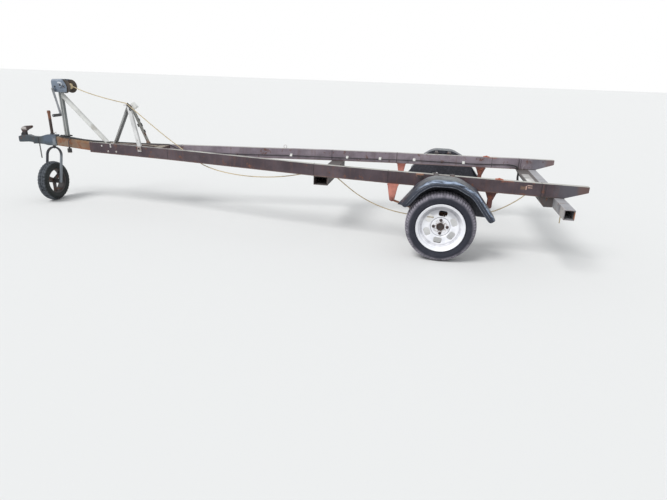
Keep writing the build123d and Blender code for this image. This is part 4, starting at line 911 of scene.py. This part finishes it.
def buildGuardSide(side, sideName):
    # The side wall under the guard's inner edge, with two bars that carry it
    line = bentLine(guard["line"], guard["radii"], guard["step"] * 3) - (0, guardSide["under"])
    line = line[(line[:, 0] > guardSide["reach"][0]) & (line[:, 0] < guardSide["reach"][1])]
    outline = np.vstack([guardSide["front"], line, guardSide["rear"], guardSide["notch"]])
    origin = (wheel["x"], side * guardSide["inside"], 0)
    shapes = [standingSlab(outline, origin, -side * guardSide["gauge"])]
    for x in guardSide["bars"]:
        bar = boxCorners(x, guardSide["barMiddle"], guardSide["barHalfWidth"], guardSide["barHalfHeight"])
        shapes.append(standingSlab(bar, origin, side * guardSide["barGauge"]))
    makePiece("guardSide" + sideName, shapes, "guardInside")
    # Dark plates on the wall where its slot openings are: painted shade
    slotShades = []
    for x, z, halfWidth in guardSide["slots"]:
        corners = boxCorners(x, z, halfWidth, guardSide["slotHalfHeight"])
        slot = roundedOutline(corners, guardSide["slotCorner"], 4)
        slotShades.append(standingSlab(slot, origin, side * guardSide["slotDepth"]))
    makePiece("guardSlotShades" + sideName, slotShades, "blackPlastic")


def buildGuardBeads(side, sideName):
    # Two thin rounded lines along the skirt, painted pale as highlight lines, each carried along the guard's
    # line at its own depth
    path, normal = guardPath(guard["beadCut"])
    shapes = []
    for out, drop, radius in guard["beads"]:
        route = path + drop * normal
        route[:, 1] = side * out
        shapes.append(carriedShape(route, ringSection(radius, 8), (0, 1, 0)))
    makePiece("guardBeads" + sideName, shapes, "guardBeadHighlight", smooth=60)


for side, sideName in sides:
    buildGuard(side, sideName)
    buildGuardSide(side, sideName)
    buildGuardBeads(side, sideName)
print("mudguards made")

# The solids whose own form is right, as copies with rounded edges
copies = [  # name, node, look, slot, bevel in metres, smoothing angle
    ("couplerBody", "coupler", "couplerPaint", "coupler_paint", 0.004, 40),
    ("couplerLever", "coupler_lever", "leverRust", "rusty_steel", 0.003, 40),
    ("jockeySleeve", "jockey_sleeve", "jockeySteel", "spring_steel", 0, 36),
    ("winchBrace", "winch_brace", "braceZinc", "galvanised", 0, 36),
    ("bowStop", "bow_stop", "padRubber", "pad", 0.002, 36),
    ("springLeft", "spring_left", "springRust", "spring_steel", 0.0008, 36),
    ("springRight", "spring_right", "springRust", "spring_steel", 0.0008, 36),
]
for copySettings in copies:
    roundedCopy(*copySettings)
print("rounded copies made")

# Safety chain: round wire bent to links with half-circle ends, each turned a quarter from the last
chain = {"x": -2562, "top": 572.5, "pitch": 17, "links": 9, "reach": 10, "side": 5, "wire": 2.5}


def buildChain():
    turn = fullTurn(32)
    long = chain["side"] * np.cos(turn) + np.sign(np.cos(turn)) * (chain["reach"] - chain["side"])
    wide = chain["side"] * np.sin(turn)
    shapes = []
    for k in range(chain["links"]):
        middle = np.array([chain["x"], 0, chain["top"] - k * chain["pitch"]])
        flat = np.array([0, 1, 0]) if k % 2 == 0 else np.array([1, 0, 0])
        path = middle + long[:, None] * np.array([0, 0, 1]) + wide[:, None] * np.cross((0, 0, 1), flat)
        shapes.append(carriedShape(path, ringSection(chain["wire"], 10), flat, closed=True))
    makePiece("safetyChain", shapes, "chainRust", ["safety_chain"], smooth=60)


buildChain()
print("chain made")

# Jockey wheel, in mm. Its axle points along this direction, and its fork leans back to the stem
jockey = {
    "centre": (-2381.86, -89.95, 207.5),
    "axle": (0.99939, 0.0349, 0),
    "stemX": -2385,
    "crown": (-2385, 0, 556),
    "tyreSides": 240,
    "tyreHalf": [(38.5, 128.8), (42, 132), (46, 139), (49.6, 149), (52, 158), (52.5, 166), (51.6, 174),
        (49, 181.5), (45.4, 188), (41, 193.6), (36, 197.8), (31, 200.8), (24, 203.6), (22.4, 198.6),
        (18.6, 199), (17, 205.2), (9, 206.6), (7.6, 200.8), (3.6, 201), (2.2, 207.2), (0, 207.4)],
    "tyreInside": [(-38, 133), (-46, 158), (-40, 184), (0, 194), (40, 184), (46, 158), (38, 133)],
    "lugs": 34, "lugDepth": 5, "lugGap": 0.26, "shoulderGap": 0.42,  # gaps as shares of the pitch
    "lugSlant": 0.02, "lugFrom": 172, "lugRise": 16, "shoulderFrom": 26,
    "axleNut": (18, 7, 5, 10), "axleHead": (18, 7),
    "rubber": (0.012, 0.015, 0.015), "dust": (0.15, 0.165, 0.19), "dustBand": (0.186, 0.203, 0.8, 0.2, 34),
    "rim": [(38, 128.2), (41, 131), (43, 131), (42.6, 127), (38, 121.5), (30, 119.8), (-30, 119.8),
        (-38, 121.5), (-42.6, 127), (-43, 131), (-41, 131), (-38, 128.2), (-30, 127.6), (30, 127.6)],
    "hub": [(-62, 6.3), (-62, 19), (-60, 21.5), (-50, 24), (50, 24), (60, 21.5), (62, 19), (62, 6.3)],
    "spoke": [(14, -22), (70, -18.48), (122, -22), (122, 22), (70, 18.48), (14, 22)],  # out, across
    "spokeGauge": 16, "spokeTurn": 30, "spokes": 3,
    "boss": [(543.8, 8.2), (543.8, 16), (545, 17), (561, 17), (561.8, 16), (561.8, 8.2)],
    "cheek": [(0, 0), (0, 18.8), (0.8, 20), (5.4, 20), (6, 18.8), (6, 0)], "cheekGauge": 6,
    "bolt": [(-94, 0), (-94, 6), (94, 6), (94, 0)], "forkCorner": 4, "forkFoot": -14,
    "forkInside": 160, "forkBar": 30, "forkGauge": 6, "forkWidth": 15,
    "stem": [(540, 0), (540, 7.4), (541, 8), (562, 8), (562, 14.7), (905, 14.7), (906, 17), (928, 17),
        (930, 14.7), (934, 14.7), (935, 13.8), (935, 11), (890, 11), (890, 0)],
}


def buildJockey():
    centre, axle, crown = np.array(jockey["centre"]), unit(jockey["axle"]), np.array(jockey["crown"])
    up, standing = np.array([0, 0, 1.0]), (0, 0, 1)
    stemFoot = (jockey["stemX"], 0, 0)

    def lugGaps(turn, out, radius):
        # Gaps between lugs, set over by half a pitch on the two sides of the tread, wider on the shoulder
        slant = np.where(out > 0, 0.5, 0) + np.abs(out) * jockey["lugSlant"]
        phase = (turn * jockey["lugs"] / (2 * np.pi) + slant) % 1
        rise = np.clip((radius - jockey["lugFrom"]) / jockey["lugRise"], 0, 1)
        gap = np.where(np.abs(out) > jockey["shoulderFrom"], jockey["shoulderGap"], jockey["lugGap"])
        return np.where(phase < gap, jockey["lugDepth"] * rise, 0)

    rubberLook("jockeyRubber", jockey["rubber"], jockey["dust"], centre, axle, *jockey["dustBand"])
    tyre = latheShape(tyreProfile(jockey), centre, axle, jockey["tyreSides"], sink=lugGaps)
    makePiece("jockeyTyre", [tyre], "jockeyRubber", ["jockey_tyre"], "jockey_wheel", smooth=32)
    spokes = []
    for turn in np.radians(jockey["spokeTurn"]) + fullTurn(jockey["spokes"]):
        out = np.cos(turn) * -np.cross(up, axle) + np.sin(turn) * up
        near = centre - axle * jockey["spokeGauge"] / 2
        spokes.append(slabShape(jockey["spoke"], near, out, np.cross(axle, out), jockey["spokeGauge"]))
    makePiece("jockeySpokes", spokes, "jockeyRimRust", (), "jockey_wheel", bevel=0.003)
    shapes = [latheShape(jockey["rim"], centre, axle, 96), latheShape(jockey["hub"], centre, axle, 40)]
    makePiece("jockeyRim", shapes, "jockeyRimRust", ["jockey_rim"], "jockey_wheel")
    # The fork is a bar bent to a half circle over the tyre, with straight legs down to the axle
    legUp = unit(crown - centre)
    radius = (jockey["forkInside"] + jockey["forkGauge"]) / 2
    bend = np.linspace(np.pi, 0, 40)
    hoopTop = np.linalg.norm(crown - centre) - radius - jockey["forkGauge"] / 2
    low = np.linspace(jockey["forkFoot"], hoopTop, 20, endpoint=False)
    wide = np.concatenate([-radius + 0 * low, radius * np.cos(bend), radius + 0 * low])
    high = np.concatenate([low, hoopTop + radius * np.sin(bend), low[::-1]])
    path = centre + wide[:, None] * axle + high[:, None] * legUp
    bar = boxSection(jockey["forkWidth"], jockey["forkBar"], jockey["forkCorner"])
    cheekOut = jockey["forkInside"] / 2 + jockey["forkGauge"]
    shapes = [carriedShape(path, bar, np.cross(axle, legUp)),
              latheShape(jockey["boss"], stemFoot, standing, 40),
              solidTurned(jockey["bolt"], centre, axle, 20),
              solidTurned(jockey["cheek"], centre - axle * cheekOut, axle, 36),
              solidTurned(jockey["cheek"], centre + axle * (cheekOut - jockey["cheekGauge"]), axle, 36)]
    shapes += nutShapes([centre + axle * cheekOut], axle, *jockey["axleNut"])
    shapes += nutShapes([centre - axle * cheekOut], -axle, *jockey["axleHead"])
    makePiece("jockeyFork", shapes, "forkPaint", ["jockey_fork"], "jockey_fork")
    makePiece("jockeyStem", [solidTurned(jockey["stem"], stemFoot, standing, 48)],
              "stemRust", ["jockey_stem"], "jockey_stem")


buildJockey()
print("jockey wheel made")

# Winch. Plate corners are (x, z) in mm, and turned profiles are (out, radius)
winch = {
    "plate": [(-2252, 1130), (-2088, 1130), (-2080, 1187), (-2094, 1219), (-2122, 1256), (-2252, 1256)],
    "plateRound": [8, 8, 30, 30, 26, 30],
    "gauge": 5, "half": 60,
    "crossBars": [(-2250, -2180, 1132.5), (-2232, -2160, 1253.5)],  # from x, to x, z
    "boss": (-2149, 1204), "bossProfile": [(-1, 0), (-1, 28), (11, 28), (14, 26.5), (15, 24), (15, 20),
        (12.8, 18), (12.8, 0)],
    "holes": [(-2142, -72.8, 1200), (-2216, -60, 1182)],  # x, y, z
    "hole": [(0, 0), (0, 10), (0.6, 9.5), (0.6, 0)],
    "crank": (-2224, 1160), "bearing": [(-1, 8.3), (-1, 17), (13, 17), (15, 15.4), (15, 8.3)],
    "drum": (-2108, 1187), "drumBearing": [(-1, 8.3), (-1, 14), (5, 14), (6, 13), (6, 8.3)],
    "drumProfile": [(-70, 0), (-70, 7), (-69, 8), (-52, 8), (-52, 62), (-51, 66), (-49, 66), (-48.4, 63),
        (-48.6, 18), (48.6, 18), (48.4, 63), (49, 66), (51, 66), (52, 62), (52, 8), (65, 8), (66, 7),
        (66, 0)],
    "turns": 5, "turnRadius": 22.5, "turnStart": 4.6, "rope": 4.5,
    "armLean": 11.7, "armLength": 257, "armWidth": 26, "armY": -84, "armGauge": 6,
    "armCorners": [12, 12, 60, 12, 12, 60], "armWaist": 0.8, "shaftNut": (16, 7), "helixFrom": 0.3,
    "shaft": [(-8, 0), (-8, 6.6), (-6.8, 8), (150, 8), (152, 7), (152, 0)],
    "pin": [(-1, 0), (-1, 6), (115.5, 6), (116, 5), (116, 0)],
    "grip": [(14, 6.2), (14, 12), (15.5, 14), (20, 15), (45, 14.2), (64, 15), (84, 14.2), (106, 15),
        (112, 14), (114, 11), (114, 6.2)],
}


def buildWinch():
    gauge, half, toCrank = winch["gauge"], winch["half"], (0, -1, 0)
    plate = roundedOutline(winch["plate"], winch["plateRound"], 7)
    shapes = [standingSlab(plate, (0, -half, 0), -gauge), standingSlab(plate, (0, half, 0), gauge)]
    across = boxSection(2 * half - 4, gauge, 1)
    shapes += [carriedShape([(first, 0, z), (last, 0, z)], across, (0, 0, 1))
               for first, last, z in winch["crossBars"]]
    makePiece("winchPlates", shapes, "winchPaint", ["winch_frame"], bevel=0.0012)
    shapes = []
    for place, profile in (("boss", "bossProfile"), ("crank", "bearing"), ("drum", "drumBearing")):
        x, z = winch[place]
        shapes.append(latheShape(winch[profile], (x, -half, z), toCrank, 48, closed=place != "boss"))
    makePiece("winchFittings", shapes, "winchPaint")
    # Dark discs where the holes are: painted shade
    makePiece("winchHoleShades", [solidTurned(winch["hole"], place, toCrank, 28) for place in winch["holes"]],
              "blackPlastic")
    drumCentre = np.array([winch["drum"][0], 0, winch["drum"][1]])
    makePiece("winchDrum", [solidTurned(winch["drumProfile"], drumCentre, (0, 1, 0), 72)],
              "drumRust", ["winch_drum"], "winch_drum")
    # The rope's turns on the drum: a helix whose pitch is the rope's own width
    spin = np.linspace(winch["helixFrom"], 2 * np.pi * winch["turns"], winch["turns"] * 40)
    helix = drumCentre + np.stack([winch["turnRadius"] * np.cos(spin),
                                   winch["turnStart"] + 2 * winch["rope"] * spin / (2 * np.pi),
                                   winch["turnRadius"] * np.sin(spin)], 1)
    makePiece("drumRope", [carriedShape(helix, ringSection(winch["rope"], 10), (0, 1, 0))],
              "ropeFibre", (), "winch_drum", smooth=60)
    # The crank's arm narrows to its middle and leans by its angle from the crank's shaft down to the grip
    lean = np.radians(winch["armLean"])
    armDown = np.array([np.sin(lean), 0, -np.cos(lean)])
    top = np.array([winch["crank"][0], winch["armY"], winch["crank"][1]])
    wide, length = winch["armWidth"] / 2, winch["armLength"]
    end = top + armDown * length
    waist = wide * winch["armWaist"]
    arm = roundedOutline([(-wide, -wide), (wide, -wide), (waist, length * 0.5), (wide, length + wide),
                          (-wide, length + wide), (-waist, length * 0.5)], winch["armCorners"], 8)
    shapes = [slabShape(arm, top, (np.cos(lean), 0, np.sin(lean)), armDown, -winch["armGauge"]),
              solidTurned(winch["shaft"], top, (0, 1, 0), 28), solidTurned(winch["pin"], end, toCrank, 24)]
    shapes += nutShapes([top - (0, winch["armGauge"], 0)], toCrank, *winch["shaftNut"])
    makePiece("winchCrank", shapes, "crankSteel", ["winch_crank"], "winch_crank", bevel=0.001)
    makePiece("crankGrip", [latheShape(winch["grip"], end, toCrank, 40)],
              "blackPlastic", (), "winch_crank")


buildWinch()
print("winch made")

# Where the outer faces of the rails run: (x, y) at each bend, and at the tail
railSeams = np.array([(-1925, 38), (-965, 169), (595, 441), (1265, 526), (2490, 627), (2832, 648)], float)


def railSide(x):
    return np.interp(x, railSeams[:, 0], railSeams[:, 1])


def drawbarTop(x):
    return 640 - 0.0752 * (x + 1925)


# Welds, in mm
welds = {
    "faces": [-965, 595, 1265, 2490, 2513],  # x of the beads up the rails' faces
    "low": 538, "high": 637, "off": 0.2, "railWidth": 50, "bead": 1.9,
    "over": [-965, 595, 1265, 2490], "top": 640, "topBead": 1.7,  # x of those over the rails
    "under": [(2470, 533.4, 4, 2.6), (2590, 533.4, 4, 2.6), (597, 533.4, 4, 2.6), (725, 533.4, 4, 2.6),
        (2591, 533.8, 2, 2.8), (2666, 533.8, 2, 2.8)],  # x, z, inside the outer face, bead
    "sleeve": [(-2326, -25.5, 578, 668), (-2326, 25.5, 578, 668)],  # x, y, from z, to z
    "postFoot": [(-2221, -18, -2185, -18), (-2221, 18, -2185, 18), (-2185, -18, -2185, 18),
        (-2221, -18, -2221, 18)],
    "thickBead": 2.6,
}


def beadShape(start, end, radius, up=(0, 0, 1)):
    # A thin bar whose width swells and narrows along it, and runs out at its ends
    start, end = np.array(start, float), np.array(end, float)
    count = max(8, int(np.linalg.norm(end * mm - start * mm) / 0.0022))
    share = np.linspace(0, 1, count)
    path = start + share[:, None] * (end - start)
    swell = 0.86 + 0.22 * np.abs(np.sin(np.arange(count) * 1.05))
    size = swell * np.clip(np.minimum(share, 1 - share) * 12 + 0.35, 0, 1)
    return carriedShape(path, ringSection(radius, 8), up, size=size)


def buildWelds():
    low, high, width = welds["low"], welds["high"], welds["railWidth"]
    shapes = []
    for side in (-1, 1):
        for x in welds["faces"]:
            outer, inner = side * (railSide(x) + welds["off"]), side * (railSide(x) - width - welds["off"])
            shapes += [beadShape((x, y, low), (x, y, high), welds["bead"], (1, 0, 0)) for y in (outer, inner)]
            if x in welds["over"]:
                shapes.append(beadShape((x, inner, welds["top"]), (x, outer, welds["top"]), welds["topBead"]))
        for x, z, inside, radius in welds["under"]:
            inner, outer = side * (railSide(x) - width + 2), side * (railSide(x) - inside)
            shapes.append(beadShape((x, inner, z), (x, outer, z), radius))
    shapes += [beadShape((x, y, first), (x, y, last), welds["thickBead"], (1, 0, 0))
               for x, y, first, last in welds["sleeve"]]
    makePiece("railWelds", shapes, "weldSteel", smooth=70)
    foot = [beadShape((x0, y0, drawbarTop(x0) + 1), (x1, y1, drawbarTop(x1) + 1), welds["thickBead"])
            for x0, y0, x1, y1 in welds["postFoot"]]
    makePiece("postWelds", foot, "weldSteel", smooth=70)


buildWelds()
print("welds made")

# Bolts on the rails, the leg feet and the axle seats, in mm
bolts = {
    "splice": [  # x, z, flats
        (-1765, 612, 15), (-1652, 610, 15), (-1690, 560, 13), (-1588, 563, 13), (-1655, 628, 11)],
    "guard": [(1655, 640, 12), (1675, 612, 12), (1785, 640, 12), (1805, 612, 12)],  # x, z, flats
    "legFeet": [(-1290, -1), (-1338, 1)], "legFootOut": 19, "legFootZ": 622,  # x, side
    "seat": (1718, 540, 250.5), "seatPitch": (34, 28), "guardOut": 6.2,
    "spliceNut": (6, 3.5, 8, 9.5), "guardNut": (5, 3, 7),  # height, stud, stud's end, washer
    "legNut": (17, 6, 5, 10), "seatNut": (15, 7, 4, 10),  # across flats, height, stud, stud's end
}


def buildBolts():
    alongX, alongY = railSeams[1] - railSeams[0]
    turn = np.arctan2(alongY, alongX)
    shapes = []
    for x, z, flats in bolts["splice"]:
        for side in (-1, 1):
            out = np.array([-np.sin(turn), side * np.cos(turn), 0])
            shapes += nutShapes([(x, side * railSide(x), z)], out, flats, *bolts["spliceNut"])
    makePiece("spliceBolts", shapes, "boltZinc")
    shapes = []
    for x, side in bolts["legFeet"]:
        place = (x, side * (railSide(x) + bolts["legFootOut"]), bolts["legFootZ"])
        shapes += nutShapes([place], (0, side, 0), *bolts["legNut"])
    seatX, seatY, seatZ = bolts["seat"]
    pitchX, pitchY = bolts["seatPitch"]
    for side in (-1, 1):
        for x, z, flats in bolts["guard"]:
            place = (x, side * (railSide(x) + bolts["guardOut"]), z)
            shapes += nutShapes([place], (0, side, 0), flats, *bolts["guardNut"])
        for x, y in ((-pitchX, -pitchY), (-pitchX, pitchY), (pitchX, -pitchY), (pitchX, pitchY)):
            shapes += nutShapes([(seatX + x, side * seatY + y, seatZ)], (0, 0, -1), *bolts["seatNut"])
    makePiece("smallNuts", shapes, "nutRust")


buildBolts()
print("bolts made")

# Closing plates in the rear cross member's ends, in mm
crossEnd = {"outline": [(2472, 533), (2589, 533), (2589, 456), (2527, 456)], "out": 623, "gauge": 2.5}


def buildCrossEnds():
    shapes = [standingSlab(crossEnd["outline"], (0, side * crossEnd["out"], 0), side * crossEnd["gauge"])
              for side in (-1, 1)]
    makePiece("crossEnds", shapes, "crossMemberPaint", bevel=0.0008)


buildCrossEnds()
print("cross ends closed")

# Straps on the tripod, clips, caps and other trim, in mm
trim = {
    "headStraps": [  # points, width
        ([(-1428, -47, 1054), (-1404, -49, 1037), (-1379, -49, 1016)], 10),
        ([(-1437, -47, 1036), (-1408, -49, 1013), (-1379, -49, 988)], 10),
        ([(-1413, -44, 1000), (-1403, -45, 980), (-1396, -45, 960)], 12)],
    "strapGauge": 2.2,
    "legTop": (-1436, 30, 1028), "legFoot": (-1338, 126.1, 640), "legStrapWidth": 11, "legStrapGauge": 6,
    "legStraps": [  # share of the leg, half length, set over by
        (0.27, 15, 14), (0.37, 12, 20), (0.5, 17, 22), (0.67, 15, 24), (0.53, 17, -26)],
    "clipX": [175, 755, 1095, 1445, 1945], "clipWidth": 26, "clipGauge": 2.6,
    "clip": [  # from the rail's inner face, up
        (-13, -5), (-13.5, 0), (-13, 5), (-8, 9), (-0.5, 12), (-0.5, 22)],
    "cableRun": [(-400, 566), (250, 570), (900, 566), (1500, 572), (2050, 566)],  # x, z
    "capX": 2168, "capHalfWidth": 19, "capThick": 6, "railTop": 640, "halfRail": 25,
    "capNut": (16, 6, 0, 0, 11), "ringNut": (16, 7, 0, 0, 12),  # across flats, height, no stud, washer
    "capSlab": [(-32, 0), (32, 0), (29, 4), (12, 6), (-12, 6), (-29, 4)],
    "plugMouth": (-2169, -41, 514.5), "plugRing": [(0, 21.4), (0, 22.8), (5, 22.8), (5, 21.4)],  # up, radius
    "hookEye": (-2334, -12, 706), "hookRadius": 9, "hookTail": [(-2343, -12, 696), (-2343, -12, 690)],
    "hookRod": 3,
    "ringX": 107, "ringUp": 20, "ringRadius": 16, "ringRod": 3.5,
    "wireFoot": (2519, 556, 470), "wireOver": 26, "wireUp": 116, "wireRadius": 1.6,
}


def strapShape(points, width, gauge, up):
    # A flat band carried along the points, with six steps to each run
    path = np.array(points, float)
    spread = np.linspace(0, len(path) - 1, 6 * (len(path) - 1) + 1)
    path = np.stack([np.interp(spread, np.arange(len(path)), path[:, k]) for k in range(3)], 1)
    return carriedShape(path, boxSection(width, gauge, min(width, gauge) * 0.45), up)


def buildStraps():
    straps = [strapShape(points, width, trim["strapGauge"], (0, -1, 0))
              for points, width in trim["headStraps"]]
    top, foot = np.array(trim["legTop"], float), np.array(trim["legFoot"])
    way = unit(foot - top)
    for share, half, over in trim["legStraps"]:
        middle = top + share * (foot - top) + (over, -2, 0)
        straps.append(strapShape([middle - way * half, middle + way * half], trim["legStrapWidth"],
                                 trim["legStrapGauge"], (0, -1, 0.1)))
    makePiece("tripodStraps", straps, "blackRubber", smooth=40)
    clips = []
    for x in trim["clipX"]:
        y, z = railSide(x) - 2 * trim["halfRail"], np.interp(x, *np.transpose(trim["cableRun"]))
        points = [(x, y + across, z + up) for across, up in trim["clip"]]
        clips.append(strapShape(points, trim["clipGauge"], trim["clipWidth"], (1, 0, 0)))
    makePiece("cableClips", clips, "whitePlastic", smooth=40)


def buildCaps():
    wide, caps = trim["capHalfWidth"], []
    for side in (-1, 1):
        middle = np.array([trim["capX"], side * (railSide(trim["capX"]) - trim["halfRail"]), trim["railTop"]])
        caps.append(standingSlab(trim["capSlab"], middle - (0, wide, 0), -2 * wide))
        caps += nutShapes([middle + (0, 0, trim["capThick"])], (0, 0, 1), *trim["capNut"])
    makePiece("redCaps", caps, "redPlastic", bevel=0.0015)
    ring = latheShape(trim["plugRing"], trim["plugMouth"], (0, 0, 1), 40)
    makePiece("plugRing", [ring], "boltZinc")


def buildHookAndRing():
    # Hook of bent rod on the coupler's sleeve, ring bolt on the far rail's top, and a thin wire at the tail
    bend, turn, radius = np.linspace(-0.4, np.pi, 24), fullTurn(36), trim["ringRadius"]
    hook = trim["hookEye"] + trim["hookRadius"] * np.stack([np.cos(bend), 0 * bend, np.sin(bend)], 1)
    foot = np.array([trim["ringX"], railSide(trim["ringX"]) - trim["halfRail"], trim["railTop"]])
    loop = foot + (0, 0, trim["ringUp"]) + radius * np.stack([np.cos(turn), 0 * turn, np.sin(turn)], 1)
    shapes = [carriedShape(np.vstack([hook, trim["hookTail"]]), ringSection(trim["hookRod"], 10), (0, 1, 0)),
              carriedShape(loop, ringSection(trim["ringRod"], 10), (0, 1, 0), closed=True)]
    shapes += nutShapes([foot], (0, 0, 1), *trim["ringNut"])
    curl = np.linspace(0, 1, 24)
    wire = trim["wireFoot"] + np.stack([trim["wireOver"] * curl ** 1.8, 0 * curl, trim["wireUp"] * curl], 1)
    shapes.append(carriedShape(wire, ringSection(trim["wireRadius"], 8), (0, 1, 0)))
    makePiece("hookAndRing", shapes, "boltZinc")


buildStraps()
buildCaps()
buildHookAndRing()
print("trim made")

# Loose wiring on the drawbar's top, round the post's foot and at the tail: radius and points, in metres
wiring = {
    "bundle": (0.0055, [(-2.3, -0.014, 0.678), (-2.262, -0.028, 0.674), (-2.215, -0.031, 0.671),
        (-2.15, -0.026, 0.667), (-2.06, -0.016, 0.66), (-1.96, -0.016, 0.652), (-1.88, -0.017, 0.647),
        (-1.76, -0.018, 0.646), (-1.69, -0.02, 0.646)]),
    "bundleSecond": (0.0045, [(-2.28, 0.006, 0.677), (-2.236, -0.022, 0.681), (-2.17, -0.02, 0.676),
        (-2.08, -0.006, 0.664), (-1.98, -0.004, 0.654), (-1.89, -0.006, 0.646), (-1.8, -0.004, 0.6455),
        (-1.76, 0.004, 0.6455)]),
    "footLoop": (0.0045, [(-2.29, 0.01, 0.676), (-2.246, 0.03, 0.69), (-2.2, 0.033, 0.688),
        (-2.16, 0.028, 0.684), (-2.152, 0.000, 0.686), (-2.17, -0.026, 0.684), (-2.215, -0.033, 0.686),
        (-2.252, -0.024, 0.69), (-2.268, 0.002, 0.688), (-2.3, 0.014, 0.68)]),
    "tailDrop": (0.006, [(2.38, 0.5615, 0.575), (2.43, 0.56, 0.574), (2.468, 0.556, 0.566),
        (2.486, 0.548, 0.545), (2.494, 0.545, 0.5), (2.49, 0.545, 0.45), (2.5, 0.546, 0.405)]),
    "tailDropSecond": (0.005, [(2.474, 0.562, 0.568), (2.489, 0.554, 0.54), (2.504, 0.552, 0.5),
        (2.5, 0.55, 0.46), (2.508, 0.55, 0.425)]),
}


def buildWiring():
    for name, (radius, points) in wiring.items():
        tube = splineTube(name, radius, points)
        tube.data.materials.append(looks["blackRubber"])
        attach(tube, "root")


buildWiring()
print("wiring laid")

# Floor, backdrop and light
stage = {
    "floorColour": (0.8, 0.8, 0.79, 1),
    "floorHalf": 60,
    "skyColour": (0.94, 0.97, 1.0, 1),
    "skyLight": 0.62,
    "sunStrength": 1.9,
    "sunAngle": 0.5,
    "sunFrom": (-2.2, -2.6, 4.4),
}


def buildStage():
    global tree
    half = stage["floorHalf"]
    mesh = bpy.data.meshes.new("floor")
    mesh.from_pydata([(x, y, 0) for x, y in boxCorners(0, 0, half, half)], [], [(0, 1, 2, 3)])
    floor = newObject("floor", mesh)
    material = bpy.data.materials.new("paleFloor")
    material.use_nodes = True
    shader = material.node_tree.nodes["Principled BSDF"]
    shader.inputs["Base Color"].default_value = stage["floorColour"]
    shader.inputs["Roughness"].default_value = 0.9
    mesh.materials.append(material)
    world = bpy.data.worlds.new("world")
    bpy.context.scene.world = world
    world.use_nodes = True
    tree = world.node_tree
    light = tree.nodes["Background"]
    light.inputs["Strength"].default_value = stage["skyLight"]
    light.inputs["Color"].default_value = stage["skyColour"]
    # White where the camera, metal or glass sees it
    rays = addNode("LightPath").outputs
    mirrored = maths("MAXIMUM", rays["Is Glossy Ray"], rays["Is Transmission Ray"])
    seen = addNode("Background", {"Color": (1, 1, 1), "Strength": 1.0}).outputs["Background"]
    mix = addNode("MixShader", {0: maths("MAXIMUM", rays["Is Camera Ray"], mirrored),
                                1: light.outputs["Background"], 2: seen})
    tree.links.new(mix.outputs["Shader"], tree.nodes["World Output"].inputs["Surface"])
    sun = bpy.data.lights.new("sun", "SUN")
    sun.energy = stage["sunStrength"]
    sun.angle = stage["sunAngle"]
    sunObject = newObject("sun", sun)
    sunObject.rotation_euler = Vector(stage["sunFrom"]).to_track_quat("Z", "Y").to_euler()
    bpy.context.scene.view_settings.view_transform = "Standard"


buildStage()
print("stage set")
